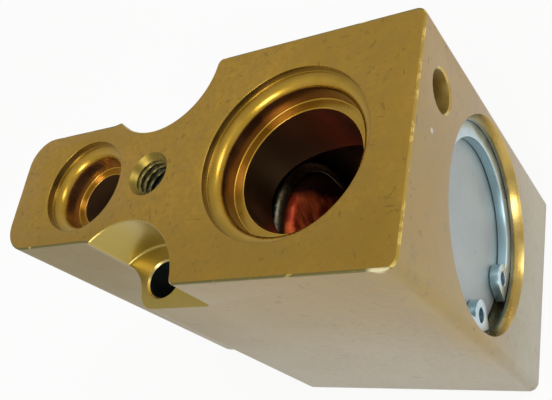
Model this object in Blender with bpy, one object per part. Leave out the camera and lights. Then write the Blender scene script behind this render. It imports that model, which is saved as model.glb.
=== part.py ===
"""Block-type thermostatic expansion valve with an internal thermal head.

The block lies on its rear port face. X runs along the valve axis from the narrow end (-X)
to the disc end (+X), Z is up and is the normal of the port face, and the origin is the
middle of the rear face. Pieces on the valve axis are turned about a local Z that an empty
lays along world X, so their heights are distances from the narrow end.
"""
import math

import bmesh
import bpy

MM = 0.001
GAP = 0.3

# Block outline, seen on the port face
LENGTH = 66.0
WIDTH = 33.2
NARROW_WIDTH = 18.7
DEPTH = 51.2
NARROW_CORNER_R = 4.4
WIDE_CORNER_R = 1.5
STEP_END = 25.3
STEP_HOLLOW_R = 6.0
STEP_CREST_R = 2.8
EDGE_BREAK = 0.2

# Bolt-head pockets and their through holes
POCKET_U = 25.2
POCKET_V = WIDTH / 2
POCKET_R = 9.7
POCKET_DEPTH = 7.85
POCKET_MOUTH_R = 1.2
POCKET_HEEL_R = 0.9
POCKET_LIP_OVERRUN = 0.05
POCKET_CLEAR = 4.0
BOLT_U = 26.1
BOLT_FROM_SIDE = 4.4
BOLT_V = WIDTH / 2 - BOLT_FROM_SIDE
BOLT_HOLE_R = 2.7
BOLT_CHAMFER = 0.45

# Stepped ports: lead chamfer, wall, narrow ledge, cone, round crest, seal wall and land
PORT_CHAMFER_DEPTH = 0.42
PORT_WALL_DEPTH = 1.25
PORT_LEDGE = 0.35
PORT_CREST_DEPTH = 2.7
PORT_CREST_R = 1.0
PORT_LAND_DEPTH = 4.8
PORT_LAND_BREAK = 0.16
SUCTION_FROM_END = 17.6
SUCTION_U = LENGTH - SUCTION_FROM_END
SUCTION_MOUTH_R = 12.55
SUCTION_WALL_R = 12.05
SUCTION_SEAL_R = 10.3
SUCTION_BORE_R = 8.8
LIQUID_MOUTH_R = 7.65
LIQUID_WALL_R = 7.2
LIQUID_SEAL_R = 5.5
LIQUID_BORE_R = 4.2
INLET_U = 13.8
OUTLET_U = 24.0
OUTLET_NECK_R = 1.9
OUTLET_NECK_BELOW_AXIS = 7.4
OUTLET_NECK_END = 0.4

# Tapped flange hole and blind hole in the disc end
FLANGE_HOLE_U = 27.0
FLANGE_HOLE_R = 2.5
FLANGE_HOLE_MOUTH_R = 3.3
FLANGE_HOLE_DEPTH = 12.0
END_HOLE_V = 8.8
END_HOLE_BELOW_FACE = 6.3
END_HOLE_R = 2.5
END_HOLE_MOUTH_R = 2.95
END_HOLE_DEPTH = 7.0
DRILL_POINT_SLOPE = 0.6

# Disc end: bore, groove, cap and circlip
CAP_BORE_R = 14.5
CAP_BORE_MOUTH_R = 15.0
CAP_BORE_MOUTH_DEPTH = 1.35
CAP_SHOULDER_DEPTH = 7.4
CAP_SHOULDER_U = LENGTH - CAP_SHOULDER_DEPTH
CAVITY_R = 14.3
GROOVE_R = 15.2
RING_DEPTH = 1.9
RING_FRONT_U = LENGTH - RING_DEPTH
RING_THICKNESS = 1.2
RING_OUTER_R = 14.9
RING_INNER_R = 12.4
RING_ECCENTRICITY = 0.15
RING_LUG_OUTER_R = 14.3
LUG_HOLE_PITCH_R = 12.1
LUG_R = 2.35
LUG_HOLE_R = 1.05
LUG_ANGLES = (-15.0, -70.4)
LUG_END_ANGLES = (-26.6, -58.8)
LUG_BACK_ANGLES = (-3.5, -81.9)
CAP_FRONT_U = RING_FRONT_U - RING_THICKNESS - GAP
CAP_BACK_U = CAP_SHOULDER_U + GAP
CAP_R = CAP_BORE_R - GAP
CAP_EDGE_BREAK = 0.3
CAP_LEAD = 0.8
CAP_GROOVE_BACK = 2.6
CAP_GROOVE_W = 1.6
CAP_GROOVE_U = CAP_FRONT_U - CAP_GROOVE_BACK
CAP_GROOVE_R = 12.9
CAP_SEAL_R = 13.7
CAP_SEAL_WIRE_R = 0.5

# Thermal head, stacked from the cavity floor towards the disc end
CAVITY_FLOOR_U = 34.7
HEAD_FLOOR_T = 0.7
HEAD_BACK_U = CAVITY_FLOOR_U + GAP
HEAD_LEDGE_U = 37.1
HEAD_LEDGE_IN_R = 9.4
HEAD_RIM_R = 12.5
HEAD_LIP_IN_R = 10.6
HEAD_WALL_T = 0.8
DIAPHRAGM_U = HEAD_LEDGE_U + GAP
DIAPHRAGM_T = 0.2
DIAPHRAGM_R = 11.3
DIAPHRAGM_WAVE = 0.09
SHELL_FLANGE_U = DIAPHRAGM_U + DIAPHRAGM_T + GAP
SHELL_T = 0.6
SHELL_FLANGE_R = 11.3
SHELL_WALL_R = 10.3
SHELL_TOP_U = 41.4
HEAD_LIP_U = SHELL_FLANGE_U + SHELL_T + GAP
HEAD_TOP_U = HEAD_LIP_U + HEAD_WALL_T
PLUG_R = 1.3
PLUG_HOLE_R = 0.8
PLUG_SEAT = 1.05
NECK_R = 6.3
NECK_BORE_R = 6.6
NECK_END_U = 31.7
NECK_BORE_U = 31.4
NECK_HOLE_R = 3.3
HEAD_SEAL_R = 8.5
HEAD_SEAL_WIRE_R = 0.65
HEAD_SEAL_GROOVE = (7.4, 9.6)
HEAD_SEAL_GROOVE_U = 33.1

# Stem: pad, rod, ball, carrier and damping clip, with the valve closed
STEM_TRAVEL = 0.6
PAD_TOP_U = HEAD_LEDGE_U
PAD_R = 8.6
PAD_STEM_R = 3.0
ROD_R = 1.35
ROD_TOP_U = 35.0
GUIDE_R = ROD_R + GAP
OUTLET_CHAMBER_HALF = 2.0
OUTLET_CHAMBER_U = OUTLET_U - OUTLET_CHAMBER_HALF
GUIDE_U = OUTLET_U + OUTLET_CHAMBER_HALF
ROD_SEAL_POCKET_U = 28.8
ROD_SEAL_POCKET_R = 3.0
ROD_SEAL_R = 2.15
ROD_SEAL_WIRE_R = 0.5
RETAINER_R = (1.7, 2.7)
RETAINER_T = 0.5
OUTLET_CHAMBER_R = 3.2
ORIFICE_R = 1.9
SEAT_U = 20.4
SEAT_R = 2.05
SEAT_LENGTH = 0.3
BALL_R = 2.5
BALL_SOCKET_R = BALL_R + GAP
CARRIER_TOP_U = 17.4
CARRIER_R = 3.0
CARRIER_FLANGE_R = 4.2
CARRIER_FLANGE_U = 14.0
CARRIER_FLANGE_T = 1.2
CARRIER_SPIGOT_R = 2.2
CARRIER_SPIGOT_U = 11.4
CARRIER_SPIGOT_BREAK = 0.4
CARRIER_RIM_BREAK = 0.2
CLIP_R = (3.3, 4.55, 4.9)
CLIP_T = 0.4
CLIP_FINGER_LENGTH = 3.2
CLIP_FINGERS = 3
CLIP_FINGER_ANGLE = 30.0
CHAMBER_R = 5.2
CHAMBER_END_U = 18.2
ORIFICE_TOP_R = 2.4

# Spring and adjusting screw
SPRING_WIRE_R = 0.55
SPRING_R = 3.2
SPRING_TURNS = 5.5
SPRING_CLOSED_TURNS = 0.9
SPRING_CLOSED_PITCH = 1.18
SCREW_TRAVEL = 0.75
SCREW_BORE_R = 5.9
SCREW_HEAD_BORE_R = 6.15
SCREW_MOUTH_R = 6.75
SCREW_BORE_LEAD = 0.25
SCREW_OUT_U = 0.8
SCREW_IN_U = 9.0
SCREW_HEAD_R = 5.85
SCREW_HEAD_END_U = 3.8
SCREW_HEAD_BORE_U = SCREW_HEAD_END_U + SCREW_TRAVEL + 0.2
SCREW_BORE_END_U = SCREW_IN_U + SCREW_TRAVEL + GAP
SCREW_THREAD_R = 5.6
SCREW_GROOVE_FROM_FACE = 0.9
SCREW_GROOVE_W = 1.6
SCREW_GROOVE_U = SCREW_OUT_U + SCREW_GROOVE_FROM_FACE
SCREW_GROOVE_R = 4.5
SCREW_CUP_R = 4.4
SCREW_CUP_FLOOR_U = 4.9
SCREW_SEAL_R = 5.3
SCREW_SEAL_WIRE_R = 0.5
HEX_ACROSS_FLATS = 5.0
HEX_DEPTH = 2.8

FINE = 44
HEAD_STEPS = 36
MEDIUM = 28
SMALL = 16


def clear_scene():
    for obj in list(bpy.data.objects):
        bpy.data.objects.remove(obj, do_unlink=True)


def make_material(name, colour, metallic, roughness):
    mat = bpy.data.materials.new(name)
    mat.use_nodes = True
    shader = mat.node_tree.nodes["Principled BSDF"]
    shader.inputs["Base Color"].default_value = (*colour, 1.0)
    shader.inputs["Metallic"].default_value = metallic
    shader.inputs["Roughness"].default_value = roughness
    mat.diffuse_color = (*colour, 1.0)
    return mat


def make_empty(name, location, rotation=(0.0, 0.0, 0.0)):
    empty = bpy.data.objects.new(name, None)
    empty.empty_display_size = 0.01
    empty.location = location
    empty.rotation_euler = rotation
    bpy.context.scene.collection.objects.link(empty)
    return empty


def finish_mesh(bm, name, parent, material=None, smooth_angle=35.0):
    """Turn a bmesh in millimetres into an object in metres under its parent."""
    bmesh.ops.remove_doubles(bm, verts=bm.verts, dist=1e-5)
    bmesh.ops.recalc_face_normals(bm, faces=bm.faces)
    bmesh.ops.scale(bm, vec=(MM, MM, MM), verts=bm.verts)
    mesh = bpy.data.meshes.new(name)
    bm.to_mesh(mesh)
    bm.free()
    if material is not None:
        mesh.materials.append(material)
    mesh.shade_smooth()
    mesh.set_sharp_from_angle(angle=math.radians(smooth_angle))
    obj = bpy.data.objects.new(name, mesh)
    obj.parent = parent
    bpy.context.scene.collection.objects.link(obj)
    return obj


def turned(name, profile, parent, material=None, steps=MEDIUM):
    """Spin a closed (radius, height) profile about the local Z axis."""
    bm = bmesh.new()
    verts = [bm.verts.new((radius, 0.0, height)) for radius, height in profile]
    edges = [bm.edges.new((a, b)) for a, b in zip(verts, verts[1:] + verts[:1])
             if max(abs(a.co.x), abs(b.co.x)) > 1e-6]
    bmesh.ops.spin(bm, geom=verts + edges, cent=(0, 0, 0), axis=(0, 0, 1),
                   angle=math.tau, steps=steps, use_merge=True)
    return finish_mesh(bm, name, parent, material)


def extruded(name, outline, low, high, parent, material=None, edge_break=0.0):
    """Extrude a closed (x, y) outline from low to high, with broken rim edges."""
    bm = bmesh.new()
    face = bm.faces.new([bm.verts.new((x, y, low)) for x, y in outline])
    result = bmesh.ops.extrude_face_region(bm, geom=[face])
    top = [v for v in result["geom"] if isinstance(v, bmesh.types.BMVert)]
    bmesh.ops.translate(bm, vec=(0, 0, high - low), verts=top)
    if edge_break > 0.0:
        rims = [e for e in bm.edges if abs(e.verts[0].co.z - e.verts[1].co.z) < 1e-6]
        bmesh.ops.bevel(bm, geom=rims, offset=edge_break, segments=1, affect="EDGES")
    return finish_mesh(bm, name, parent, material)


def cut_with(obj, cutter):
    cutter.hide_render = True
    cutter.display_type = "WIRE"
    modifier = obj.modifiers.new(f"cut {cutter.name}", "BOOLEAN")
    modifier.operation = "DIFFERENCE"
    modifier.solver = "EXACT"
    modifier.object = cutter


def arc(centre, radius, start, end, steps):
    """Points on an arc from one angle to another, in degrees, ends included."""
    points = []
    for i in range(steps + 1):
        angle = math.radians(start + (end - start) * i / steps)
        points.append((centre[0] + radius * math.cos(angle),
                       centre[1] + radius * math.sin(angle)))
    return points


def ring_profile(radius, wire_r, height, steps=8):
    """Section of an O-ring."""
    return arc((radius, height), wire_r, 0.0, 360.0 - 360.0 / steps, steps - 1)


def bearing(origin, target):
    return math.degrees(math.atan2(target[1] - origin[1], target[0] - origin[0]))


def circle_meet(c1, r1, c2, r2, side):
    """Point where two circles meet; side picks one of the two."""
    dx, dy = c2[0] - c1[0], c2[1] - c1[1]
    dist = math.hypot(dx, dy)
    along = (dist * dist + r1 * r1 - r2 * r2) / (2 * dist)
    across = math.sqrt(max(r1 * r1 - along * along, 0.0)) * side
    return (c1[0] + (along * dx - across * dy) / dist,
            c1[1] + (along * dy + across * dx) / dist)


def step_arcs():
    """Centres and turn angle of the S-curve from the narrow to the wide part (+Y side)."""
    rise = (WIDTH - NARROW_WIDTH) / 2
    total = STEP_HOLLOW_R + STEP_CREST_R
    turn = math.degrees(math.acos(1 - rise / total))
    start_u = STEP_END - total * math.sin(math.radians(turn))
    hollow = (start_u, NARROW_WIDTH / 2 + STEP_HOLLOW_R)
    crest = (STEP_END, WIDTH / 2 - STEP_CREST_R)
    return hollow, crest, turn


def block_outline():
    """Outline of the block in (u, v), u from the narrow end; half of it is mirrored."""
    hollow, crest, turn = step_arcs()
    narrow, wide = NARROW_WIDTH / 2, WIDTH / 2
    corner = NARROW_CORNER_R
    half = arc((corner, narrow - corner), corner, 180, 90, 8)
    half += arc(hollow, STEP_HOLLOW_R, -90, -90 + turn, 10)
    half += arc(crest, STEP_CREST_R, 90 + turn, 90, 6)[1:]
    end = (LENGTH - WIDE_CORNER_R, wide - WIDE_CORNER_R)
    half += arc(end, WIDE_CORNER_R, 90, 0, 4)
    return half + [(u, -v) for u, v in reversed(half)]


def pocket_outline(side):
    """Milled pocket with rounded lips where it breaks out of the block's side."""
    centre = (POCKET_U, POCKET_V)
    hollow, _, _ = step_arcs()
    lip_v = WIDTH / 2 - POCKET_MOUTH_R + POCKET_LIP_OVERRUN
    reach = POCKET_R + POCKET_MOUTH_R
    lip = (POCKET_U + math.sqrt(reach ** 2 - (POCKET_V - lip_v) ** 2), lip_v)
    heel_reach = STEP_HOLLOW_R + POCKET_HEEL_R - POCKET_LIP_OVERRUN
    heel = circle_meet(centre, POCKET_R + POCKET_HEEL_R, hollow, heel_reach, 1)
    lip_back = bearing(lip, centre)
    wall_start, wall_end = bearing(centre, lip), bearing(centre, heel)
    heel_start, heel_end = bearing(heel, centre), bearing(heel, hollow)
    points = arc(lip, POCKET_MOUTH_R, 90, lip_back % 360, 5)
    points += arc(centre, POCKET_R, wall_start, wall_end, 26)[1:]
    points += arc(heel, POCKET_HEEL_R, heel_start, heel_end, 3)[1:]
    open_v = WIDTH / 2 + POCKET_CLEAR
    points += [(hollow[0], open_v), (lip[0], open_v)]
    return [(u - LENGTH / 2, side * v) for u, v in points]


def flare(mouth_r, wall_r, depth):
    """Top of a chamfer, carried on past the face at height 0 to height 1."""
    return (mouth_r + (mouth_r - wall_r) / depth, 1.0)


def tangent_bearing(point, centre, radius):
    """Bearing from an arc's centre to where the line from point touches the arc, seen above."""
    reach = math.dist(point, centre)
    return bearing(centre, point) + math.degrees(math.acos(radius / reach))


def port_profile(mouth_r, wall_r, seal_r, bore_r, reach, neck=()):
    """Stepped port, in (radius, height) below a face at height 0."""
    ledge = (wall_r - PORT_LEDGE, -PORT_WALL_DEPTH)
    crest = (seal_r + PORT_CREST_R, -PORT_CREST_DEPTH)
    profile = [(0, 1.0), flare(mouth_r, wall_r, PORT_CHAMFER_DEPTH),
               (wall_r, -PORT_CHAMFER_DEPTH), (wall_r, -PORT_WALL_DEPTH), ledge]
    profile += arc(crest, PORT_CREST_R, tangent_bearing(ledge, crest, PORT_CREST_R), 180, 4)
    profile += [(seal_r, -PORT_LAND_DEPTH), (bore_r + PORT_LAND_BREAK, -PORT_LAND_DEPTH),
                (bore_r, -PORT_LAND_DEPTH - PORT_LAND_BREAK), (bore_r, -reach)]
    profile.extend(neck)
    return profile + [(0, profile[-1][1])]


def add_port(block, face, name, u, radii, reach, steps, neck=()):
    """Cut a stepped port under the empty that marks its face."""
    cutter = turned(name, port_profile(*radii, reach, neck), face, steps=steps)
    cutter.location = ((u - LENGTH / 2) * MM, 0, 0)
    cut_with(block, cutter)


def drill_profile(mouth_r, bore_r, reach):
    """Chamfered blind hole with a drill point, below a face at height 0."""
    chamfer = mouth_r - bore_r
    return [(0, 1.0), (mouth_r + 1.0, 1.0), (bore_r, -chamfer),
            (bore_r, -reach), (0, -reach - bore_r * DRILL_POINT_SLOPE)]


def valve_bore_profile():
    """Bores from the narrow end to the neck of the thermal head."""
    neck_end = CAVITY_FLOOR_U + HEAD_FLOOR_T
    return [
        (0, -1.0), (SCREW_MOUTH_R + 1.0, -1.0),
        (SCREW_HEAD_BORE_R, SCREW_MOUTH_R - SCREW_HEAD_BORE_R),
        (SCREW_HEAD_BORE_R, SCREW_HEAD_BORE_U), (SCREW_BORE_R, SCREW_HEAD_BORE_U + SCREW_BORE_LEAD),
        (SCREW_BORE_R, SCREW_BORE_END_U), (CHAMBER_R, SCREW_BORE_END_U),
        (CHAMBER_R, CHAMBER_END_U), (ORIFICE_TOP_R, SEAT_U - SEAT_LENGTH), (SEAT_R, SEAT_U),
        (ORIFICE_R, SEAT_U + SEAT_R - ORIFICE_R), (ORIFICE_R, OUTLET_CHAMBER_U),
        (OUTLET_CHAMBER_R, OUTLET_CHAMBER_U), (OUTLET_CHAMBER_R, GUIDE_U), (GUIDE_R, GUIDE_U),
        (GUIDE_R, ROD_SEAL_POCKET_U), (ROD_SEAL_POCKET_R, ROD_SEAL_POCKET_U),
        (ROD_SEAL_POCKET_R, NECK_BORE_U), (NECK_BORE_R, NECK_BORE_U),
        (NECK_BORE_R, neck_end), (0, neck_end),
    ]


def head_bore_profile():
    """Cavity of the thermal head with its seal groove, and the cap's bore with its lead."""
    groove_in, groove_out = HEAD_SEAL_GROOVE
    cap_lead = (CAP_BORE_MOUTH_R - CAP_BORE_R) / CAP_BORE_MOUTH_DEPTH
    return [
        (0, CAVITY_FLOOR_U), (groove_in, CAVITY_FLOOR_U),
        (groove_in, HEAD_SEAL_GROOVE_U), (groove_out, HEAD_SEAL_GROOVE_U),
        (groove_out, CAVITY_FLOOR_U), (CAVITY_R, CAVITY_FLOOR_U), (CAVITY_R, CAP_SHOULDER_U),
        (CAP_BORE_R, CAP_SHOULDER_U), (CAP_BORE_R, CAP_FRONT_U), (GROOVE_R, CAP_FRONT_U),
        (GROOVE_R, RING_FRONT_U + GAP), (CAP_BORE_R, RING_FRONT_U + GAP),
        (CAP_BORE_R, LENGTH - CAP_BORE_MOUTH_DEPTH),
        (CAP_BORE_MOUTH_R + cap_lead, LENGTH + 1.0), (0, LENGTH + 1.0),
    ]


def build_block(axis, material):
    outline = [(u - LENGTH / 2, v) for u, v in block_outline()]
    block = extruded("valve_block", outline, 0.0, DEPTH, None, material, EDGE_BREAK)
    top = make_empty("port_face", (0, 0, DEPTH * MM))
    rear = make_empty("rear_face", (0, 0, 0), (math.pi, 0, 0))
    end = make_empty("disc_face", (LENGTH / 2 * MM, 0, DEPTH * MM), (0, math.pi / 2, 0))

    cut_with(block, turned("valve_bore_cutter", valve_bore_profile(), axis))
    cut_with(block, turned("head_bore_cutter", head_bore_profile(), axis, steps=FINE))
    suction = (SUCTION_MOUTH_R, SUCTION_WALL_R, SUCTION_SEAL_R, SUCTION_BORE_R)
    liquid = (LIQUID_MOUTH_R, LIQUID_WALL_R, LIQUID_SEAL_R, LIQUID_BORE_R)
    half = DEPTH / 2
    add_port(block, top, "suction_port_cutter", SUCTION_U, suction, half + 0.5, FINE)
    add_port(block, rear, "evaporator_port_cutter", SUCTION_U, suction, half + 0.5, FINE)
    add_port(block, top, "inlet_port_cutter", INLET_U, liquid, half - 3.0, MEDIUM)
    shoulder = half - OUTLET_NECK_BELOW_AXIS
    neck = [(OUTLET_NECK_R, -shoulder), (OUTLET_NECK_R, OUTLET_NECK_END - half)]
    add_port(block, rear, "outlet_port_cutter", OUTLET_U, liquid, shoulder, MEDIUM, neck)

    flange_hole = turned("flange_hole_cutter",
                         drill_profile(FLANGE_HOLE_MOUTH_R, FLANGE_HOLE_R, FLANGE_HOLE_DEPTH),
                         top, steps=SMALL)
    flange_hole.location = ((FLANGE_HOLE_U - LENGTH / 2) * MM, 0, 0)
    cut_with(block, flange_hole)

    end_hole = turned("end_hole_cutter",
                      drill_profile(END_HOLE_MOUTH_R, END_HOLE_R, END_HOLE_DEPTH),
                      end, steps=SMALL)
    end_hole.location = (END_HOLE_BELOW_FACE * MM, END_HOLE_V * MM, 0)
    cut_with(block, end_hole)

    for side, label in ((1, "left"), (-1, "right")):
        outline = pocket_outline(side)
        pocket = extruded(f"pocket_cutter_{label}", outline, -POCKET_DEPTH, 2.0, top)
        cut_with(block, pocket)
        cut_with(block, bolt_hole_cutter(label, side, top))
    return block


def bolt_hole_cutter(label, side, top):
    wide = BOLT_HOLE_R + BOLT_CHAMFER
    floor, rear = -POCKET_DEPTH, -DEPTH
    profile = [(0, floor + 1), (wide + 1, floor + 1), (BOLT_HOLE_R, floor - BOLT_CHAMFER),
               (BOLT_HOLE_R, rear + BOLT_CHAMFER), (wide + 1, rear - 1), (0, rear - 1)]
    cutter = turned(f"bolt_hole_cutter_{label}", profile, top, steps=SMALL)
    cutter.location = ((BOLT_U - LENGTH / 2) * MM, side * BOLT_V * MM, 0)
    return cutter


def build_end_cap(axis, steel, rubber):
    low, high = CAP_GROOVE_U, CAP_GROOVE_U + CAP_GROOVE_W
    edge = CAP_EDGE_BREAK
    profile = [(0, CAP_BACK_U), (CAP_R - CAP_LEAD, CAP_BACK_U), (CAP_R, CAP_BACK_U + CAP_LEAD),
               (CAP_R, low), (CAP_GROOVE_R, low), (CAP_GROOVE_R, high), (CAP_R, high),
               (CAP_R, CAP_FRONT_U - edge), (CAP_R - edge, CAP_FRONT_U), (0, CAP_FRONT_U)]
    turned("end_cap", profile, axis, steel, FINE)
    turned("end_cap_oring", ring_profile(CAP_SEAL_R, CAP_SEAL_WIRE_R, (low + high) / 2),
           axis, rubber, MEDIUM)


def polar(radius, angle):
    return (radius * math.cos(math.radians(angle)), radius * math.sin(math.radians(angle)))


def snap_ring_outline():
    """Eccentric ring, open between two lugs whose eyes take the pliers."""
    middle = sum(LUG_ANGLES) / 2
    inner_centre = polar(RING_ECCENTRICITY, middle)
    first = polar(LUG_HOLE_PITCH_R, LUG_ANGLES[0])
    last = polar(LUG_HOLE_PITCH_R, LUG_ANGLES[1])
    outer = arc((0, 0), RING_OUTER_R, LUG_BACK_ANGLES[0], LUG_BACK_ANGLES[1] + 360, 60)
    last_heel = arc((0, 0), RING_LUG_OUTER_R, LUG_BACK_ANGLES[1] + 361.5,
                    LUG_END_ANGLES[1] + 360, 4)
    root_last = circle_meet(last, LUG_R, inner_centre, RING_INNER_R, 1)
    root_first = circle_meet(first, LUG_R, inner_centre, RING_INNER_R, -1)
    start = LUG_END_ANGLES[1] + 90
    sweep = (bearing(last, root_last) - start) % 360
    last_eye = arc(last, LUG_R, start, start + sweep, 10)
    inner_from = bearing(inner_centre, root_last)
    inner_to = bearing(inner_centre, root_first)
    inner = arc(inner_centre, RING_INNER_R, inner_from % 360, inner_to, 54)[1:-1]
    end = LUG_END_ANGLES[0] - 90
    sweep = (end - bearing(first, root_first)) % 360
    first_eye = arc(first, LUG_R, end - sweep, end, 10)
    first_heel = arc((0, 0), RING_LUG_OUTER_R, LUG_END_ANGLES[0], LUG_BACK_ANGLES[0] - 1.5, 4)
    return outer + last_heel + last_eye + inner + first_eye + first_heel


def build_snap_ring(axis, steel):
    back = RING_FRONT_U - RING_THICKNESS
    ring = extruded("snap_ring", snap_ring_outline(), back, RING_FRONT_U, axis, steel)
    for label, angle in zip(("first", "last"), LUG_ANGLES):
        profile = [(0, back - 0.5), (LUG_HOLE_R, back - 0.5),
                   (LUG_HOLE_R, RING_FRONT_U + 0.5), (0, RING_FRONT_U + 0.5)]
        eye = turned(f"lug_eye_cutter_{label}", profile, axis, steps=SMALL)
        x, y = polar(LUG_HOLE_PITCH_R, angle)
        eye.location = (x * MM, y * MM, 0)
        cut_with(ring, eye)


def build_head(axis, dark_steel, copper, steel, rubber):
    floor_top = HEAD_BACK_U + HEAD_FLOOR_T
    rim_r = (HEAD_TOP_U - HEAD_LIP_U) * 1.55
    rim = (HEAD_RIM_R - rim_r, HEAD_TOP_U - rim_r)
    lip_r = 0.38
    lip = (HEAD_LIP_IN_R + lip_r, HEAD_TOP_U - lip_r)
    pocket_r = SHELL_FLANGE_R + GAP
    profile = [(NECK_HOLE_R, NECK_END_U), (NECK_R - 0.5, NECK_END_U), (NECK_R, NECK_END_U + 0.5),
               (NECK_R, HEAD_BACK_U), (HEAD_RIM_R - 0.9, HEAD_BACK_U),
               (HEAD_RIM_R, HEAD_BACK_U + 0.9)]
    profile += arc(rim, rim_r, 0, 90, 5)
    profile += arc(lip, lip_r, 90, 180, 3)
    profile += [(HEAD_LIP_IN_R, HEAD_LIP_U), (pocket_r, HEAD_LIP_U), (pocket_r, HEAD_LEDGE_U),
                (HEAD_LEDGE_IN_R, HEAD_LEDGE_U), (HEAD_LEDGE_IN_R, floor_top + 0.4),
                (HEAD_LEDGE_IN_R - 0.4, floor_top), (NECK_HOLE_R, floor_top)]
    turned("head_lower_housing", profile, axis, dark_steel, HEAD_STEPS)

    turned("head_upper_shell", dome_profile(), axis, copper, MEDIUM)
    turned("charge_plug", ball_profile(SHELL_TOP_U + PLUG_SEAT + GAP, PLUG_R), axis, steel, SMALL)
    turned("head_diaphragm", diaphragm_profile(), axis, steel, MEDIUM)
    seal_u = HEAD_SEAL_GROOVE_U + GAP + HEAD_SEAL_WIRE_R
    turned("head_oring", ring_profile(HEAD_SEAL_R, HEAD_SEAL_WIRE_R, seal_u), axis, rubber, MEDIUM)


def dome_profile():
    """Pressed shell: flat flange, short wall, rounded shoulder and a shallow crown."""
    shoulder_r = 1.5
    crown_in = SHELL_WALL_R - shoulder_r
    shoulder = (crown_in, HEAD_TOP_U - 0.35)
    crown_u = shoulder[1] + shoulder_r
    rise = SHELL_TOP_U - crown_u
    crown = []
    for i in range(1, 5):
        radius = crown_in + (PLUG_HOLE_R - crown_in) * i / 4
        crown.append((radius, crown_u + rise * (1 - (radius / crown_in) ** 2)))
    outer = [(SHELL_FLANGE_R, SHELL_FLANGE_U), (SHELL_FLANGE_R, SHELL_FLANGE_U + SHELL_T),
             (SHELL_WALL_R, SHELL_FLANGE_U + SHELL_T)]
    outer += arc(shoulder, shoulder_r, 0, 90, 4) + crown
    inner = [(radius, height - SHELL_T) for radius, height in reversed(crown)]
    inner += arc(shoulder, shoulder_r - SHELL_T, 90, 0, 4)
    inner += [(SHELL_WALL_R - SHELL_T, SHELL_FLANGE_U)]
    return outer + inner


def ball_profile(height, radius, steps=8):
    points = arc((0, height), radius, -90, 90, steps)
    points[0] = (0, height - radius)
    points[-1] = (0, height + radius)
    return points


def diaphragm_profile():
    """Thin corrugated disc."""
    top, bottom = [], []
    for radius in (0.0, 3.0, 4.0, 5.0, 6.0, 7.0, 8.0, 9.0, DIAPHRAGM_R):
        wave = 2 * DIAPHRAGM_WAVE if radius in (4.0, 6.0, 8.0) else 0.0
        bottom.append((radius, DIAPHRAGM_U + wave))
        top.append((radius, DIAPHRAGM_U + DIAPHRAGM_T + wave))
    return bottom + top[::-1]


def build_stem(axis, stem, steel, rubber):
    pad_low = HEAD_BACK_U + HEAD_FLOOR_T + STEM_TRAVEL + 0.2
    rod_head = ROD_TOP_U + GAP
    profile = [(0, rod_head), (PAD_STEM_R - 0.6, rod_head), (PAD_STEM_R, rod_head + 0.5),
               (PAD_STEM_R, pad_low), (PAD_R - 0.2, pad_low), (PAD_R, pad_low + 0.2),
               (PAD_R, PAD_TOP_U - 0.2), (PAD_R - 0.2, PAD_TOP_U), (0, PAD_TOP_U)]
    turned("pressure_pad", profile, stem, steel)

    seat_drop = math.sqrt(BALL_R ** 2 - SEAT_R ** 2)
    ball_u = SEAT_U - seat_drop - GAP * BALL_R / seat_drop
    rod_low = ball_u + BALL_R + GAP
    turned("push_rod", [(0, rod_low), (ROD_R - 0.3, rod_low), (ROD_R, rod_low + 0.3),
                        (ROD_R, ROD_TOP_U - 0.3), (ROD_R - 0.3, ROD_TOP_U), (0, ROD_TOP_U)],
           stem, steel, SMALL)
    turned("valve_ball", ball_profile(ball_u, BALL_R), stem, steel, SMALL)
    build_carrier(stem, steel, ball_u)
    build_damping_clip(stem, steel)

    seal_u = ROD_SEAL_POCKET_U + GAP + ROD_SEAL_WIRE_R
    turned("rod_oring", ring_profile(ROD_SEAL_R, ROD_SEAL_WIRE_R, seal_u), axis, rubber, 24)
    low = seal_u + ROD_SEAL_WIRE_R + GAP
    inner, outer = RETAINER_R
    turned("rod_oring_retainer", [(inner, low), (outer, low), (outer, low + RETAINER_T),
                                  (inner, low + RETAINER_T)], axis, steel, 24)


def build_carrier(stem, steel, ball_u):
    low, high = CARRIER_FLANGE_U, CARRIER_FLANGE_U + CARRIER_FLANGE_T
    rim = math.degrees(math.asin((CARRIER_TOP_U - ball_u) / BALL_SOCKET_R))
    socket = arc((0, ball_u), BALL_SOCKET_R, rim, -90, 6)
    socket[-1] = (0, ball_u - BALL_SOCKET_R)
    end, rim_break = CARRIER_SPIGOT_BREAK, CARRIER_RIM_BREAK
    profile = [(0, CARRIER_SPIGOT_U), (CARRIER_SPIGOT_R - end, CARRIER_SPIGOT_U),
               (CARRIER_SPIGOT_R, CARRIER_SPIGOT_U + end), (CARRIER_SPIGOT_R, low),
               (CARRIER_FLANGE_R, low), (CARRIER_FLANGE_R, high), (CARRIER_R, high),
               (CARRIER_R, CARRIER_TOP_U - rim_break), (CARRIER_R - rim_break, CARRIER_TOP_U)]
    profile += socket
    turned("ball_carrier", profile, stem, steel, 28)


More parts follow.
